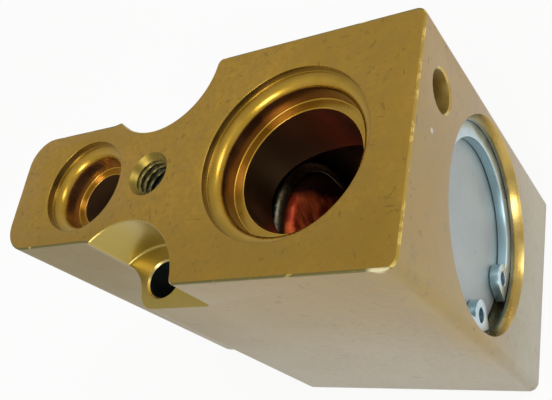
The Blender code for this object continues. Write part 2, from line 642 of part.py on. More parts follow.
def build_damping_clip(stem, steel):
    """Flat ring with fingers that reach down between the carrier and the bore."""
    inner, knee, outer = CLIP_R
    low = CARRIER_FLANGE_U + CARRIER_FLANGE_T + GAP
    high = low + CLIP_T
    steps = 36
    bm = bmesh.new()
    loops = [(inner, low), (knee, low), (outer, low), (outer, high), (knee, high), (inner, high)]
    verts = [bm.verts.new((r, 0, z)) for r, z in loops]
    edges = [bm.edges.new((a, b)) for a, b in zip(verts, verts[1:] + verts[:1])]
    bmesh.ops.spin(bm, geom=verts + edges, cent=(0, 0, 0), axis=(0, 0, 1),
                   angle=math.tau, steps=steps, use_merge=True)
    bmesh.ops.remove_doubles(bm, verts=bm.verts, dist=1e-5)
    fingers = []
    for face in bm.faces:
        centre = face.calc_center_median()
        radius = math.hypot(centre.x, centre.y)
        on_knee = knee < radius < outer and abs(centre.z - low) < 1e-4
        turn = math.degrees(math.atan2(centre.y, centre.x)) % (360 / CLIP_FINGERS)
        if on_knee and turn < CLIP_FINGER_ANGLE:
            fingers.append(face)
    result = bmesh.ops.extrude_face_region(bm, geom=fingers)
    moved = [v for v in result["geom"] if isinstance(v, bmesh.types.BMVert)]
    bmesh.ops.translate(bm, vec=(0, 0, -CLIP_FINGER_LENGTH), verts=moved)
    bmesh.ops.delete(bm, geom=[f for f in fingers if f.is_valid], context="FACES")
    finish_mesh(bm, "damping_clip", stem, steel)


def build_spring(axis, steel):
    """Coil with about one closed turn at each end, swept as three spins."""
    low = SCREW_CUP_FLOOR_U + GAP + SPRING_WIRE_R
    high = CARRIER_FLANGE_U - GAP - SPRING_WIRE_R
    closed_rise = SPRING_CLOSED_TURNS * SPRING_CLOSED_PITCH
    active = SPRING_TURNS - 2 * SPRING_CLOSED_TURNS
    parts = [(SPRING_CLOSED_TURNS, closed_rise), (active, high - low - 2 * closed_rise),
             (SPRING_CLOSED_TURNS, closed_rise)]
    bm = bmesh.new()
    section = [bm.verts.new((r, 0, z)) for r, z in ring_profile(SPRING_R, SPRING_WIRE_R, low, 7)]
    face = bm.faces.new(section)
    geom = section + list(face.edges) + [face]
    for turns, rise in parts:
        steps = round(turns * SMALL)
        result = bmesh.ops.spin(bm, geom=geom, cent=(0, 0, 0), axis=(0, 0, 1),
                                dvec=(0, 0, rise / steps), angle=math.tau * turns, steps=steps)
        geom = result["geom_last"]
    finish_mesh(bm, "superheat_spring", axis, steel)


def build_adjuster(adjuster, steel, rubber):
    low, high = SCREW_GROOVE_U, SCREW_GROOVE_U + SCREW_GROOVE_W
    profile = [(0, SCREW_OUT_U), (SCREW_HEAD_R - 0.4, SCREW_OUT_U),
               (SCREW_HEAD_R, SCREW_OUT_U + 0.4), (SCREW_HEAD_R, low), (SCREW_GROOVE_R, low),
               (SCREW_GROOVE_R, high), (SCREW_HEAD_R, high), (SCREW_HEAD_R, SCREW_HEAD_END_U),
               (SCREW_THREAD_R, SCREW_HEAD_END_U + 0.2), (SCREW_THREAD_R, SCREW_IN_U - 0.3),
               (SCREW_THREAD_R - 0.3, SCREW_IN_U), (SCREW_CUP_R, SCREW_IN_U),
               (SCREW_CUP_R, SCREW_CUP_FLOOR_U), (0, SCREW_CUP_FLOOR_U)]
    screw = turned("adjusting_screw", profile, adjuster, steel, MEDIUM)
    corner_r = HEX_ACROSS_FLATS / 2 / math.cos(math.pi / 6)
    hexagon = arc((0, 0), corner_r, 0, 300, 5)
    socket = extruded("hex_socket_cutter", hexagon, SCREW_OUT_U - 1, SCREW_OUT_U + HEX_DEPTH,
                      adjuster)
    cut_with(screw, socket)
    turned("adjusting_screw_oring",
           ring_profile(SCREW_SEAL_R, SCREW_SEAL_WIRE_R, (low + high) / 2), adjuster, rubber, 28)


def main():
    clear_scene()
    gold = make_material("gold_chromate", (0.42, 0.27, 0.055), 1.0, 0.38)
    plate = make_material("zinc_plate", (0.42, 0.44, 0.42), 1.0, 0.45)
    spring_steel = make_material("spring_steel", (0.33, 0.40, 0.43), 1.0, 0.3)
    dark_steel = make_material("dark_steel", (0.06, 0.065, 0.06), 1.0, 0.35)
    copper = make_material("copper", (0.52, 0.13, 0.06), 1.0, 0.4)
    steel = make_material("bright_steel", (0.5, 0.5, 0.48), 1.0, 0.28)
    rubber = make_material("seal_rubber", (0.015, 0.02, 0.016), 0.0, 0.55)

    centre = (-LENGTH / 2 * MM, 0, DEPTH / 2 * MM)
    lay_down = (0, math.pi / 2, 0)
    axis = make_empty("valve_axis", centre, lay_down)
    stem = make_empty("stem_axis", centre, lay_down)
    adjuster = make_empty("adjuster_axis", centre, lay_down)

    build_block(axis, gold)
    build_end_cap(axis, plate, rubber)
    build_snap_ring(axis, spring_steel)
    build_head(axis, dark_steel, copper, steel, rubber)
    build_stem(axis, stem, steel, rubber)
    build_spring(axis, spring_steel)
    build_adjuster(adjuster, steel, rubber)


main()
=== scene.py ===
"""Looks of the expansion valve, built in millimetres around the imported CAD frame.

The block and the circlip are remade with fine bores, broken edges and a real thread. The spring
is two halves of its CAD node, and every other CAD node keeps its shape in a smooth copy.
"""
import math

import bmesh
import bpy
from mathutils import Matrix, Vector


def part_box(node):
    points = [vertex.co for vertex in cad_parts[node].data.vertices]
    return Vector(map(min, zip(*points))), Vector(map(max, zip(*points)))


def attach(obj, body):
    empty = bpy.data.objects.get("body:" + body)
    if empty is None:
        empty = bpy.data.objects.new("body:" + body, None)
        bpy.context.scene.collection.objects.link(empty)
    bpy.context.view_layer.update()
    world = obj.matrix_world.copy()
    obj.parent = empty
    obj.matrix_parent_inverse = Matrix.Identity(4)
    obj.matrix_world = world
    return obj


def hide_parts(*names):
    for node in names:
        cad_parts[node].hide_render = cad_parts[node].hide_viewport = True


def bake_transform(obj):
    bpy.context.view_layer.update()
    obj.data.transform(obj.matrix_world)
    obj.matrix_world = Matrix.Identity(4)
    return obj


MM = 0.001

# Camera, in the photograph's frame of 552 by 400 pixels
IMAGE = (552, 400)
FOCAL_PX = 749.75
PRINCIPAL_PX = (333.385, 266.755)
CAMERA_AT = (66.0, -43.82, 113.63)
CAMERA_RIGHT = (0.85798325, 0.13930089, -0.49442897)
CAMERA_DOWN = (-0.06463971, -0.92559784, -0.37294819)
CAMERA_FORWARD = (-0.5095944, 0.35194305, -0.78514307)

# Block outline, seen on the port face
NARROW_WIDTH = 18.7
NARROW_CORNER_R = 4.4
WIDE_CORNER_R = 1.5
STEP_END = 25.3
STEP_HOLLOW_R = 6.0
STEP_CREST_R = 2.8
EDGE_BREAK = 0.28

# Bolt-head pockets and their through holes
POCKET_U = 25.2
POCKET_V = 16.6
POCKET_R = 9.7
POCKET_DEPTH = 7.85
POCKET_MOUTH_R = 1.2
POCKET_HEEL_R = 0.9
POCKET_LIP_OVERRUN = 0.05
POCKET_FLOOR_R = 0.45
POCKET_BREAK = 0.15
BOLT_U = 26.1
BOLT_V = 12.2
BOLT_HOLE_R = 2.7
BOLT_CHAMFER = 0.25

# Stepped ports: chamfer, wall, narrow ledge, cone, round crest, seal wall and land
PORT_CHAMFER_DEPTH = 0.2
PORT_WALL_DEPTH = 1.25
PORT_WALL_FOOT_R = 0.12
PORT_MOUTH_BREAK = 0.1
PORT_LEDGE = 0.35
PORT_CONE_DEPTH = 1.87
PORT_CREST_R = 1.4
PORT_LAND_DEPTH = 4.8
PORT_LAND_FOOT_R = 0.2
PORT_LAND_BREAK = 0.16
SUCTION_U = 48.4
SUCTION_R = (12.55, 12.05, 10.3, 8.8)
LIQUID_R = (7.65, 7.2, 5.5, 4.2)
INLET_U = 13.8
OUTLET_U = 24.0
OUTLET_NECK_R = 1.9
OUTLET_NECK_BELOW_AXIS = 7.4
OUTLET_NECK_END = 0.4
LARGE_PORTS_OVERLAP = 0.5
INLET_ABOVE_AXIS = 3.0

# Tapped flange hole and the blind hole in the disc end
FLANGE_HOLE_U = 26.7
FLANGE_THREAD_R = (2.45, 3.0)
FLANGE_THREAD_PITCH = 1.0
THREAD_ROWS_PER_MM = 12
THREAD_FLANK = 0.34
THREAD_FLAT = 1.15
FLANGE_CORE_INSET = 0.4
FLANGE_HOLE_MOUTH_R = 3.3
FLANGE_HOLE_DEPTH = 12.0
END_HOLE_V = 8.8
END_HOLE_BELOW_FACE = 6.3
END_HOLE_R = 2.7
END_HOLE_MOUTH_R = 2.95
END_HOLE_DEPTH = 7.0
DRILL_POINT_SLOPE = 0.6

# Bores on the valve axis, by distance from the narrow end
GAP = 0.3
CAP_BORE_R = 14.5
CAP_BORE_MOUTH_R = 15.0
CAP_BORE_MOUTH_DEPTH = 1.35
CAP_SHOULDER_U = 58.6
CAVITY_R = 14.3
GROOVE_R = 15.2
RING_FRONT_U = 64.1
RING_THICKNESS = 1.2
RING_SEATED = 0.2
RING_CLEARANCE = 0.06
CAP_FRONT_U = RING_FRONT_U - RING_THICKNESS - GAP
CAVITY_FLOOR_U = 34.7
SCREW_MOUTH_R = 6.75
SCREW_HEAD_BORE_R = 6.15
SCREW_HEAD_BORE_U = 4.75
SCREW_BORE_LEAD = 0.25
SCREW_BORE_R = 5.9
SCREW_BORE_END_U = 10.05
CHAMBER_R = 5.2
CHAMBER_END_U = 18.2
SEAT_CONE_R = 2.4
SEAT_CONE_END_U = 20.1
SEAT_R = 2.05
SEAT_U = 20.4
ORIFICE_R = 1.9
ORIFICE_U = 20.5
OUTLET_CHAMBER_R = 3.2
OUTLET_CHAMBER_U = 22.0
GUIDE_R = 1.65
GUIDE_U = 26.0
ROD_SEAL_POCKET_R = 3.0
ROD_SEAL_POCKET_U = 28.8
NECK_BORE_R = 6.6
NECK_BORE_U = 31.4
HEAD_SEAL_GROOVE_R = (7.4, 9.6)
HEAD_SEAL_GROOVE_U = 33.1

# Circlip
RING_OUTER_R = 14.9
RING_INNER_R = 12.4
RING_ECCENTRICITY = 0.15
RING_LUG_OUTER_R = 14.3
LUG_HOLE_PITCH_R = 12.1
LUG_R = 2.2
LUG_HOLE_R = 1.05
LUG_ANGLES = (-15.0, -70.4)
LUG_END_ANGLES = (-25.8, -59.6)
LUG_BACK_ANGLES = (-3.5, -81.9)
LUG_HEEL_STEP = 1.5
LUG_EYE_BREAK = 0.1
RING_EDGE_BREAK = 0.12

# Facets round a turned surface
FINE = 160
MEDIUM = 96
SMALL = 48

# How far a cutter reaches past the face that it cuts
OVER = 1.0

# Faces that meet at a wider angle than this stay sharp
SMOOTH_ANGLE = math.radians(32)
CARVED_SMOOTH_ANGLE = math.radians(28)

# Gold tones, as pairs between which the surface wanders
PORT_GOLD = ((0.45, 0.262, 0.010), (0.54, 0.325, 0.026))
MOUTH_GOLD = ((0.42, 0.30, 0.075), (0.52, 0.37, 0.11))
# Seal walls of the ports: darker, browner tones as painted shade.
SEAL_SHADE_GOLD = ((0.27, 0.13, 0.055), (0.33, 0.16, 0.065))
SMALL_SEAL_SHADE_GOLD = ((0.40, 0.22, 0.11), (0.48, 0.27, 0.13))
# Bore under the large ports: painted shade, redder towards the copper shell as a painted reflection of
# it.
BORE_SHADE_OLIVE = (0.215, 0.125, 0.055)
BORE_SHADE_COPPER_RED = (0.40, 0.155, 0.085)
SMALL_BORE = (0.46, 0.29, 0.16)
# Bores on the valve axis and the disc's seat: dark tones as painted shade.
AXIAL_BORE_SHADE_GOLD = ((0.20, 0.105, 0.065), (0.24, 0.125, 0.075))
GROOVE_SHADE_GOLD = ((0.20, 0.175, 0.10), (0.28, 0.245, 0.14))
SEAT_GOLD = ((0.42, 0.32, 0.10), (0.50, 0.38, 0.14))
TAPER_GOLD = ((0.56, 0.385, 0.09), (0.68, 0.475, 0.13))
TAPPED_GOLD = ((0.25, 0.18, 0.035), (0.31, 0.225, 0.045))
# Walls of the bolt holes: dark blue-grey as painted shade.
BOLT_HOLE_SHADE = ((0.13, 0.15, 0.17), (0.20, 0.22, 0.24))

# Floor, with the share of plain white in it as the camera and metal see it
FLOOR_HALF_SIZE = 4.0
FLOOR_TONE = (0.86, 0.86, 0.85, 1.0)
FLOOR_WHITE = 0.88

# World and the two square lamps, each a direction and a power
WORLD_TINT = (1.0, 0.99, 0.97, 1.0)
WORLD_STRENGTH = 0.66
LAMP_DISTANCE = 420
LAMP_SIDE = 150
LAMP_TARGET = (0, 0, 30)
LEFT_LAMP = ((0.51, 0.33, 0.79), 0.32)
RIGHT_LAMP = ((0.15, -0.71, 0.69), 0.60)

# Marks of use, a painted highlight on one corner and the painted shade on the copper shell
SMUDGE_AT = (33.0, -15.6, 43.5)
NICK_AT = (33.0, 2.3, 46.6)
# Where a painted highlight sits on one corner.
BRIGHT_CORNER_AT = (30.8, -16.6, 51.2)
# Painted shade on the copper shell: how it slopes, where it starts and how fast it fades in.
COPPER_SHADE_SLOPE = 2.48
COPPER_SHADE_FROM = 0.044
COPPER_SHADE_FADE = 0.004
TURNING_RINGS = 42000.0

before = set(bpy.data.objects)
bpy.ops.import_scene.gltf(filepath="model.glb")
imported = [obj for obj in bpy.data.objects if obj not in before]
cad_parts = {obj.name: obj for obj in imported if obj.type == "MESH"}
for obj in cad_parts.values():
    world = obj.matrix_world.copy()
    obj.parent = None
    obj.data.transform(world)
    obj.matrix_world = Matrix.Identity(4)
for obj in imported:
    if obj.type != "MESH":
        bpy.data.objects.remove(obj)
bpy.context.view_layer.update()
block_low, block_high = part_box("valve_block")
LENGTH = round((block_high.x - block_low.x) / MM, 3)
WIDTH = round((block_high.y - block_low.y) / MM, 3)
DEPTH = round((block_high.z - block_low.z) / MM, 3)

# Local Z of the axis frame runs along world X from the narrow end
AXIS = Matrix.Translation((-LENGTH / 2, 0, DEPTH / 2)) @ Matrix.Rotation(math.pi / 2, 4, "Y")
TOP = Matrix.Translation((-LENGTH / 2, 0, DEPTH))
REAR = Matrix.Translation((-LENGTH / 2, 0, 0)) @ Matrix.Scale(-1, 4, (0, 0, 1))
DISC_FACE = (Matrix.Translation((LENGTH / 2, 0, DEPTH))
             @ Matrix.Rotation(math.pi / 2, 4, "Y"))


def shifted(place, x=0.0, y=0.0):
    return place @ Matrix.Translation((x, y, 0))


def arc(centre, radius, start, end, steps):
    """Points on an arc from one angle to another, in degrees, ends included."""
    points = []
    for i in range(steps + 1):
        angle = math.radians(start + (end - start) * i / steps)
        points.append((centre[0] + radius * math.cos(angle),
                       centre[1] + radius * math.sin(angle)))
    return points


def rounded(points, steps=7):
    """Polyline through points, where a third value is the radius of that corner."""
    line = []
    for i, point in enumerate(points):
        if len(point) == 2:
            line.append(point)
            continue
        here, radius = Vector(point[:2]), point[2]
        back = (Vector(points[i - 1][:2]) - here).normalized()
        ahead = (Vector(points[i + 1][:2]) - here).normalized()
        half = back.angle(ahead) / 2
        centre = here + (back + ahead).normalized() * radius / math.sin(half)
        start = bearing(centre, here + back * radius / math.tan(half))
        end = bearing(centre, here + ahead * radius / math.tan(half))
        sweep = (end - start + 180) % 360 - 180
        line += arc(centre, radius, start, start + sweep, steps)
    return line


def bearing(origin, target):
    return math.degrees(math.atan2(target[1] - origin[1], target[0] - origin[0]))


def circle_meet(c1, r1, c2, r2, side):
    """Point where two circles meet; side picks one of the two."""
    dx, dy = c2[0] - c1[0], c2[1] - c1[1]
    dist = math.hypot(dx, dy)
    along = (dist * dist + r1 * r1 - r2 * r2) / (2 * dist)
    across = math.sqrt(max(r1 * r1 - along * along, 0.0)) * side
    return (c1[0] + (along * dx - across * dy) / dist,
            c1[1] + (along * dy + across * dx) / dist)


def polar(radius, angle):
    return (radius * math.cos(math.radians(angle)), radius * math.sin(math.radians(angle)))


def finish_mesh(bm, name, place, material):
    """Turn a bmesh in millimetres into an object in metres, placed by a matrix."""
    bmesh.ops.remove_doubles(bm, verts=bm.verts, dist=1e-5)
    bm.transform(Matrix.Scale(MM, 4) @ place)
    bmesh.ops.recalc_face_normals(bm, faces=bm.faces)
    mesh = bpy.data.meshes.new(name)
    bm.to_mesh(mesh)
    bm.free()
    mesh.materials.append(material)
    mesh.shade_smooth()
    mesh.set_sharp_from_angle(angle=SMOOTH_ANGLE)
    obj = bpy.data.objects.new(name, mesh)
    bpy.context.scene.collection.objects.link(obj)
    return obj


def turned(name, profile, place, material, steps=MEDIUM):
    """Spin a closed (radius, height) profile about the local Z axis."""
    bm = bmesh.new()
    verts = [bm.verts.new((radius, 0.0, height)) for radius, height in profile]
    edges = [bm.edges.new((a, b)) for a, b in zip(verts, verts[1:] + verts[:1])
             if max(abs(a.co.x), abs(b.co.x)) > 1e-6]
    bmesh.ops.spin(bm, geom=verts + edges, cent=(0, 0, 0), axis=(0, 0, 1),
                   angle=math.tau, steps=steps, use_merge=True)
    return finish_mesh(bm, name, place, material)


def lofted(name, loops, place, material):
    """Closed solid through loops of equal length, capped at both ends."""
    bm = bmesh.new()
    rings = [[bm.verts.new(point) for point in loop] for loop in loops]
    bm.faces.new(rings[0])
    bm.faces.new(rings[-1])
    for low, high in zip(rings, rings[1:]):
        for i in range(len(low)):
            j = (i + 1) % len(low)
            bm.faces.new((low[i], low[j], high[j], high[i]))
    return finish_mesh(bm, name, place, material)


def extruded(name, outline, low, high, place, material, edge_break, segments=3):
    """Extrude a closed (x, y) outline from low to high, with rounded rim edges."""
    bm = bmesh.new()
    face = bm.faces.new([bm.verts.new((x, y, low)) for x, y in outline])
    result = bmesh.ops.extrude_face_region(bm, geom=[face])
    top = [v for v in result["geom"] if isinstance(v, bmesh.types.BMVert)]
    bmesh.ops.translate(bm, vec=(0, 0, high - low), verts=top)
    rims = [e for e in bm.edges if abs(e.verts[0].co.z - e.verts[1].co.z) < 1e-6]
    bmesh.ops.bevel(bm, geom=rims, offset=edge_break, segments=segments, profile=0.5,
                    affect="EDGES")
    return finish_mesh(bm, name, place, material)


def paint(obj, material, chosen):
    """Give the faces that the test picks another material."""
    slot = len(obj.data.materials)
    obj.data.materials.append(material)
    for face in obj.data.polygons:
        if chosen(face):
            face.material_index = slot


def carve(obj, cutters):
    """Cut all cutters out of an object for good, keeping their materials on the cut faces."""
    for cutter in cutters:
        modifier = obj.modifiers.new("cut", "BOOLEAN")
        modifier.operation = "DIFFERENCE"
        modifier.solver = "EXACT"
        modifier.material_mode = "TRANSFER"
        modifier.object = cutter
    bpy.context.view_layer.update()
    depsgraph = bpy.context.evaluated_depsgraph_get()
    mesh = bpy.data.meshes.new_from_object(obj.evaluated_get(depsgraph), depsgraph=depsgraph)
    obj.modifiers.clear()
    obj.data = mesh
    mesh.shade_smooth()
    mesh.set_sharp_from_angle(angle=CARVED_SMOOTH_ANGLE)
    for cutter in cutters:
        bpy.data.objects.remove(cutter, do_unlink=True)


class Nodes:
    """Short way to write a Principled material with procedural detail."""

    def __init__(self, name):
        self.material = bpy.data.materials.new(name)
        self.material.use_nodes = True
        self.tree = self.material.node_tree
        self.shader = self.tree.nodes["Principled BSDF"]
        space = self.add("ShaderNodeTexCoord")
        self.coords, self.facing = space.outputs["Object"], space.outputs["Normal"]

    def add(self, kind, values=None, **settings):
        node = self.tree.nodes.new(kind)
        for key, value in settings.items():
            setattr(node, key, value)
        for key, value in (values or {}).items():
            self.set(node.inputs[key], value)
        return node

    def set(self, socket, value):
        if isinstance(value, bpy.types.NodeSocket):
            self.tree.links.new(value, socket)
        else:
            socket.default_value = value

    def principled(self, **values):
        for key, value in values.items():
            self.set(self.shader.inputs[key.replace("_", " ")], value)

    def noise(self, scale, detail=4.0, roughness=0.55, vector=None, distortion=0.0):
        values = {"Vector": vector or self.coords, "Scale": scale, "Detail": detail,
                  "Roughness": roughness, "Distortion": distortion}
        return self.add("ShaderNodeTexNoise", values).outputs["Fac"]

    def math(self, operation, a, b=0.0, c=0.0):
        node = self.add("ShaderNodeMath", operation=operation)
        for socket, value in zip(node.inputs, (a, b, c)):
            self.set(socket, value)
        return node.outputs[0]

    def ramp(self, value, low, high, out_low=0.0, out_high=1.0):
        """Smooth step from out_low to out_high as value goes from low to high."""
        node = self.add("ShaderNodeMapRange", interpolation_type="SMOOTHSTEP", clamp=True)
        for key, item in (("Value", value), ("From Min", low), ("From Max", high),
                          ("To Min", out_low), ("To Max", out_high)):
            self.set(node.inputs[key], item)
        return node.outputs[0]

    def mix(self, factor, a, b):
        node = self.add("ShaderNodeMix", data_type="RGBA")
        self.set(node.inputs[0], factor)
        self.set(node.inputs[6], (*a, 1.0) if isinstance(a, tuple) else a)
        self.set(node.inputs[7], (*b, 1.0) if isinstance(b, tuple) else b)
        return node.outputs[2]

    def bump(self, height, distance, strength, normal=None):
        values = {"Height": height, "Distance": distance, "Strength": strength}
        if normal is not None:
            values["Normal"] = normal
        return self.add("ShaderNodeBump", values).outputs["Normal"]

    def split(self, vector):
        """X, Y and Z of a vector."""
        return list(self.add("ShaderNodeSeparateXYZ", {"Vector": vector}).outputs)

    def pits(self, scale, level, crowding):
        """Mask of small marks, crowded in some places and rare in others."""
        marks = self.ramp(self.noise(scale, 2, 0.5, distortion=0.4), level, level + 0.07)
        crowds = self.ramp(self.noise(150, 3, 0.6), crowding, crowding + 0.16)
        return self.math("MULTIPLY", marks, crowds)

    def hairs(self, turn, scale, level, stretch=(1.0, 5.0, 1.0)):
        """Mask of short thin scratches that run at one angle about Z."""
        values = {"Vector": self.coords, "Rotation": (0.0, 0.0, turn), "Scale": stretch}
        vector = self.add("ShaderNodeMapping", values, vector_type="TEXTURE").outputs[0]
        return self.ramp(self.noise(scale, 1, 0.5, vector=vector), level, level + 0.05)

    def radius(self, centre, axis=None):
        """Distance from a point, or from an axis through it, in metres."""
        offset = self.add("ShaderNodeVectorMath", operation="SUBTRACT")
        self.set(offset.inputs[0], self.coords)
        offset.inputs[1].default_value = tuple(value * MM for value in centre)
        flat = self.add("ShaderNodeVectorMath", operation="MULTIPLY")
        self.set(flat.inputs[0], offset.outputs[0])
        flat.inputs[1].default_value = tuple(0.0 if axis == i else 1.0 for i in range(3))
        length = self.add("ShaderNodeVectorMath", operation="LENGTH")
        self.set(length.inputs[0], flat.outputs[0])
        return length.outputs["Value"]


def gold_matte():
    """Chromated aluminium as milled: matte, finely grained, with dark pits and hairlines."""
    n = Nodes("gold_matte")
    x, y, _ = n.split(n.coords)
    cloud = n.ramp(n.noise(90, 5), 0.3, 0.7)
    fine = n.noise(1400, 3, 0.7)
    base = n.mix(cloud, (0.44, 0.270, 0.046), (0.515, 0.312, 0.055))
    base = n.mix(n.ramp(fine, 0.35, 0.7), base, (0.42, 0.252, 0.045))
    mottle = n.ramp(n.noise(520, 4, 0.6), 0.4, 0.65, 0.0, 0.35)
    base = n.mix(mottle, base, (0.36, 0.24, 0.060))
    # Painted shade: the face darkens towards -Y.
    face_shade_towards_minus_y = n.math("ADD", y, n.math("MULTIPLY", cloud, 0.006))
    base = n.mix(n.ramp(face_shade_towards_minus_y, 0.004, -0.012, 0.0, 0.6), base, (0.34, 0.21, 0.038))
    marks = n.pits(1050, 0.62, 0.38)
    for turn in (0.3, 1.5, 2.4):
        marks = n.math("MAXIMUM", marks, n.hairs(turn, 1500, 0.745))
    base = n.mix(n.math("MULTIPLY", marks, 0.34), base, (0.16, 0.11, 0.035))
    # Bright band along the edge to the end face: partly wear, partly a painted highlight.
    edge_wear_and_highlight = n.math("MULTIPLY_ADD", n.noise(600, 3), 0.0012, x)
    base = n.mix(n.ramp(edge_wear_and_highlight, 0.03343, 0.03354), base, (0.78, 0.57, 0.18))
    n.principled(Base_Color=base, Metallic=1.0, Roughness=n.ramp(cloud, 0, 1, 0.42, 0.5))
    grain = n.bump(fine, 0.00003, 0.35)
    n.principled(Normal=n.bump(n.math("MULTIPLY", marks, -1.0), 0.00004, 0.6, grain))
    return n.material


def gold_extruded():
    """Sides of the block as extruded: a paler, greyer chromate with pits and smears; some of its tones
    are painted reflection and painted shade.
    """
    n = Nodes("gold_extruded")
    x, y, z = n.split(n.coords)
    cloud = n.ramp(n.noise(60, 5), 0.3, 0.7)
    fine = n.noise(1200, 3, 0.7)
    # Paler and greyer towards the bottom: painted reflection of the floor.
    base = n.mix(n.ramp(z, 0.052, 0.004), (0.37, 0.255, 0.092), (0.38, 0.335, 0.23))
    base = n.mix(n.math("MULTIPLY", cloud, 0.4), base, (0.40, 0.32, 0.20))
    base = n.mix(n.ramp(fine, 0.35, 0.7, 0.0, 0.6), base, (0.31, 0.245, 0.14))
    shade = n.math("MULTIPLY", n.ramp(x, 0.018, -0.024), n.ramp(z, 0.004, 0.036, 0.35, 0.92))
    base = n.mix(shade, base, (0.215, 0.150, 0.030))
    # The end face is pinker, golder at its top and paler at its bottom: painted reflection, chosen by
    # which way the face looks.
    end = n.ramp(n.split(n.facing)[0], 0.5, 0.9, 0.0, 0.55)
    base = n.mix(n.math("MULTIPLY", end, n.ramp(y, 0.002, 0.014)), base, (0.47, 0.34, 0.205))
    base = n.mix(n.math("MULTIPLY", end, n.ramp(z, 0.022, 0.046)), base, (0.42, 0.27, 0.082))
    base = n.mix(n.math("MULTIPLY", end, n.ramp(z, 0.024, 0.004)), base, (0.43, 0.405, 0.30))
    # Golder round the rounded corner to the end face: painted reflection.
    corner = n.ramp(n.radius((LENGTH / 2, -WIDTH / 2, 0), 2), 0.0055, 0.0012, 0.0, 0.85)
    corner = n.math("MULTIPLY", corner, n.ramp(z, 0.006, 0.030))
    base = n.mix(corner, base, (0.40, 0.285, 0.105))
    marks = n.pits(900, 0.64, 0.42)
    marks = n.math("MAXIMUM", marks, n.hairs(0.0, 1100, 0.72, (4.0, 4.0, 1.0)))
    base = n.mix(n.math("MULTIPLY", marks, 0.36), base, (0.13, 0.11, 0.06))
    stain = n.ramp(n.noise(380, 5, 0.7), 0.45, 0.68, 0.0, 0.22)
    base = n.mix(stain, base, (0.27, 0.235, 0.14))
    smudge = n.math("MULTIPLY", n.ramp(n.noise(260, 4, 0.65), 0.52, 0.66),
                    n.ramp(n.radius(SMUDGE_AT), 0.009, 0.002, 0.0, 0.32))
    base = n.mix(smudge, base, (0.20, 0.17, 0.12))
    base = n.mix(n.ramp(n.radius(NICK_AT), 0.0005, 0.0001), base, (0.60, 0.62, 0.60))
    # Painted highlight on one corner.
    corner_highlight = n.ramp(n.radius(BRIGHT_CORNER_AT), 0.0011, 0.0003)
    base = n.mix(corner_highlight, base, (0.74, 0.67, 0.42))
    n.principled(Base_Color=base, Metallic=0.9, Roughness=n.ramp(cloud, 0, 1, 0.45, 0.52),
                 Coat_Weight=0.35, Coat_Roughness=0.3)
    grain = n.bump(fine, 0.00003, 0.35)
    n.principled(Normal=n.bump(n.math("MULTIPLY", marks, -1.0), 0.00005, 0.6, grain))
    return n.material


def gold_edge():
    """Broken edges with bright nicks, more of them towards the disc end; there the edges are brighter
    gold as a painted highlight, and along the sides a dull green as painted shade.
    """
    n = Nodes("gold_edge")
    across, along, _ = (n.math("ABSOLUTE", part) for part in n.split(n.facing))
    # Painted highlight and painted shade: the edge's tone follows which way it faces.
    side = n.ramp(n.math("SUBTRACT", along, across), -0.1, 0.1)
    level = n.math("MULTIPLY_ADD", side, 0.10, 0.49)
    nicks = n.ramp(n.noise(420, 4, 0.6), level, n.math("ADD", level, 0.10))
    dull = n.mix(side, (0.46, 0.31, 0.07), (0.20, 0.17, 0.06))
    base = n.mix(nicks, dull, (0.82, 0.58, 0.15))
    # Painted highlight on one corner.
    bright = n.ramp(n.radius(BRIGHT_CORNER_AT), 0.0016, 0.0006)
    base = n.mix(bright, base, (0.84, 0.75, 0.44))
    n.principled(Base_Color=base, Metallic=1.0, Roughness=n.ramp(nicks, 0, 1, 0.42, 0.28),
                 Normal=n.bump(n.noise(700, 3), 0.00008, 0.7))
    return n.material


def gold_turned(name, centre, axis, tones=PORT_GOLD, rough=(0.25, 0.33), coat=0.6, shaded=None):
    """Gold bore or port, lacquer-bright, with fine turning rings about its own axis."""
    n = Nodes(name)
    radius = n.radius(centre, axis)
    rings = n.math("SINE", n.math("MULTIPLY", radius, TURNING_RINGS))
    wander = n.ramp(n.noise(300, 3), 0.3, 0.7)
    streaks = n.ramp(n.noise(1500, 2, 0.6, vector=radius), 0.36, 0.64, 0.0, 0.3)
    dark = tuple(value * 0.55 for value in tones[0])
    base = n.mix(streaks, n.mix(wander, *tones), dark)
    if shaded is not None:
        base = n.mix(n.ramp(radius, shaded[0] * MM, shaded[1] * MM, 0.0, 0.55), base, dark)
    n.principled(Base_Color=base, Metallic=0.95, Coat_Weight=coat, Coat_Roughness=0.13,
                 Roughness=n.ramp(wander, 0, 1, *rough), Normal=n.bump(rings, 0.000003, 0.4))
    return n.material


def gold_bore(name, near, far):
    """Deep bore under a port, from one tone to another along X; under the large ports that is painted
    shade in dull olive brown, redder on the side of the copper shell as a painted reflection of it.
    """
    n = Nodes(name)
    x = n.math("MULTIPLY_ADD", n.noise(160, 3), 0.006, n.split(n.coords)[0])
    base = n.mix(n.ramp(x, 0.010, 0.022), near, far)
    n.principled(Base_Color=base, Metallic=0.95, Roughness=0.32,
                 Normal=n.bump(n.noise(900, 3), 0.00002, 0.3))
    return n.material


def gold_milled():
    """Pockets, cut with an end mill: paler and smoother than the faces."""
    n = Nodes("gold_milled")
    cloud = n.ramp(n.noise(110, 4), 0.3, 0.7)
    fine = n.noise(1500, 2, 0.6)
    base = n.mix(cloud, (0.37, 0.275, 0.058), (0.43, 0.32, 0.08))
    marks = n.pits(560, 0.70, 0.46)
    base = n.mix(n.math("MULTIPLY", marks, 0.4), base, (0.16, 0.12, 0.05))
    n.principled(Base_Color=base, Metallic=0.95, Roughness=n.ramp(cloud, 0, 1, 0.30, 0.38),
                 Coat_Weight=0.25, Coat_Roughness=0.16, Normal=n.bump(fine, 0.00002, 0.3))
    return n.material


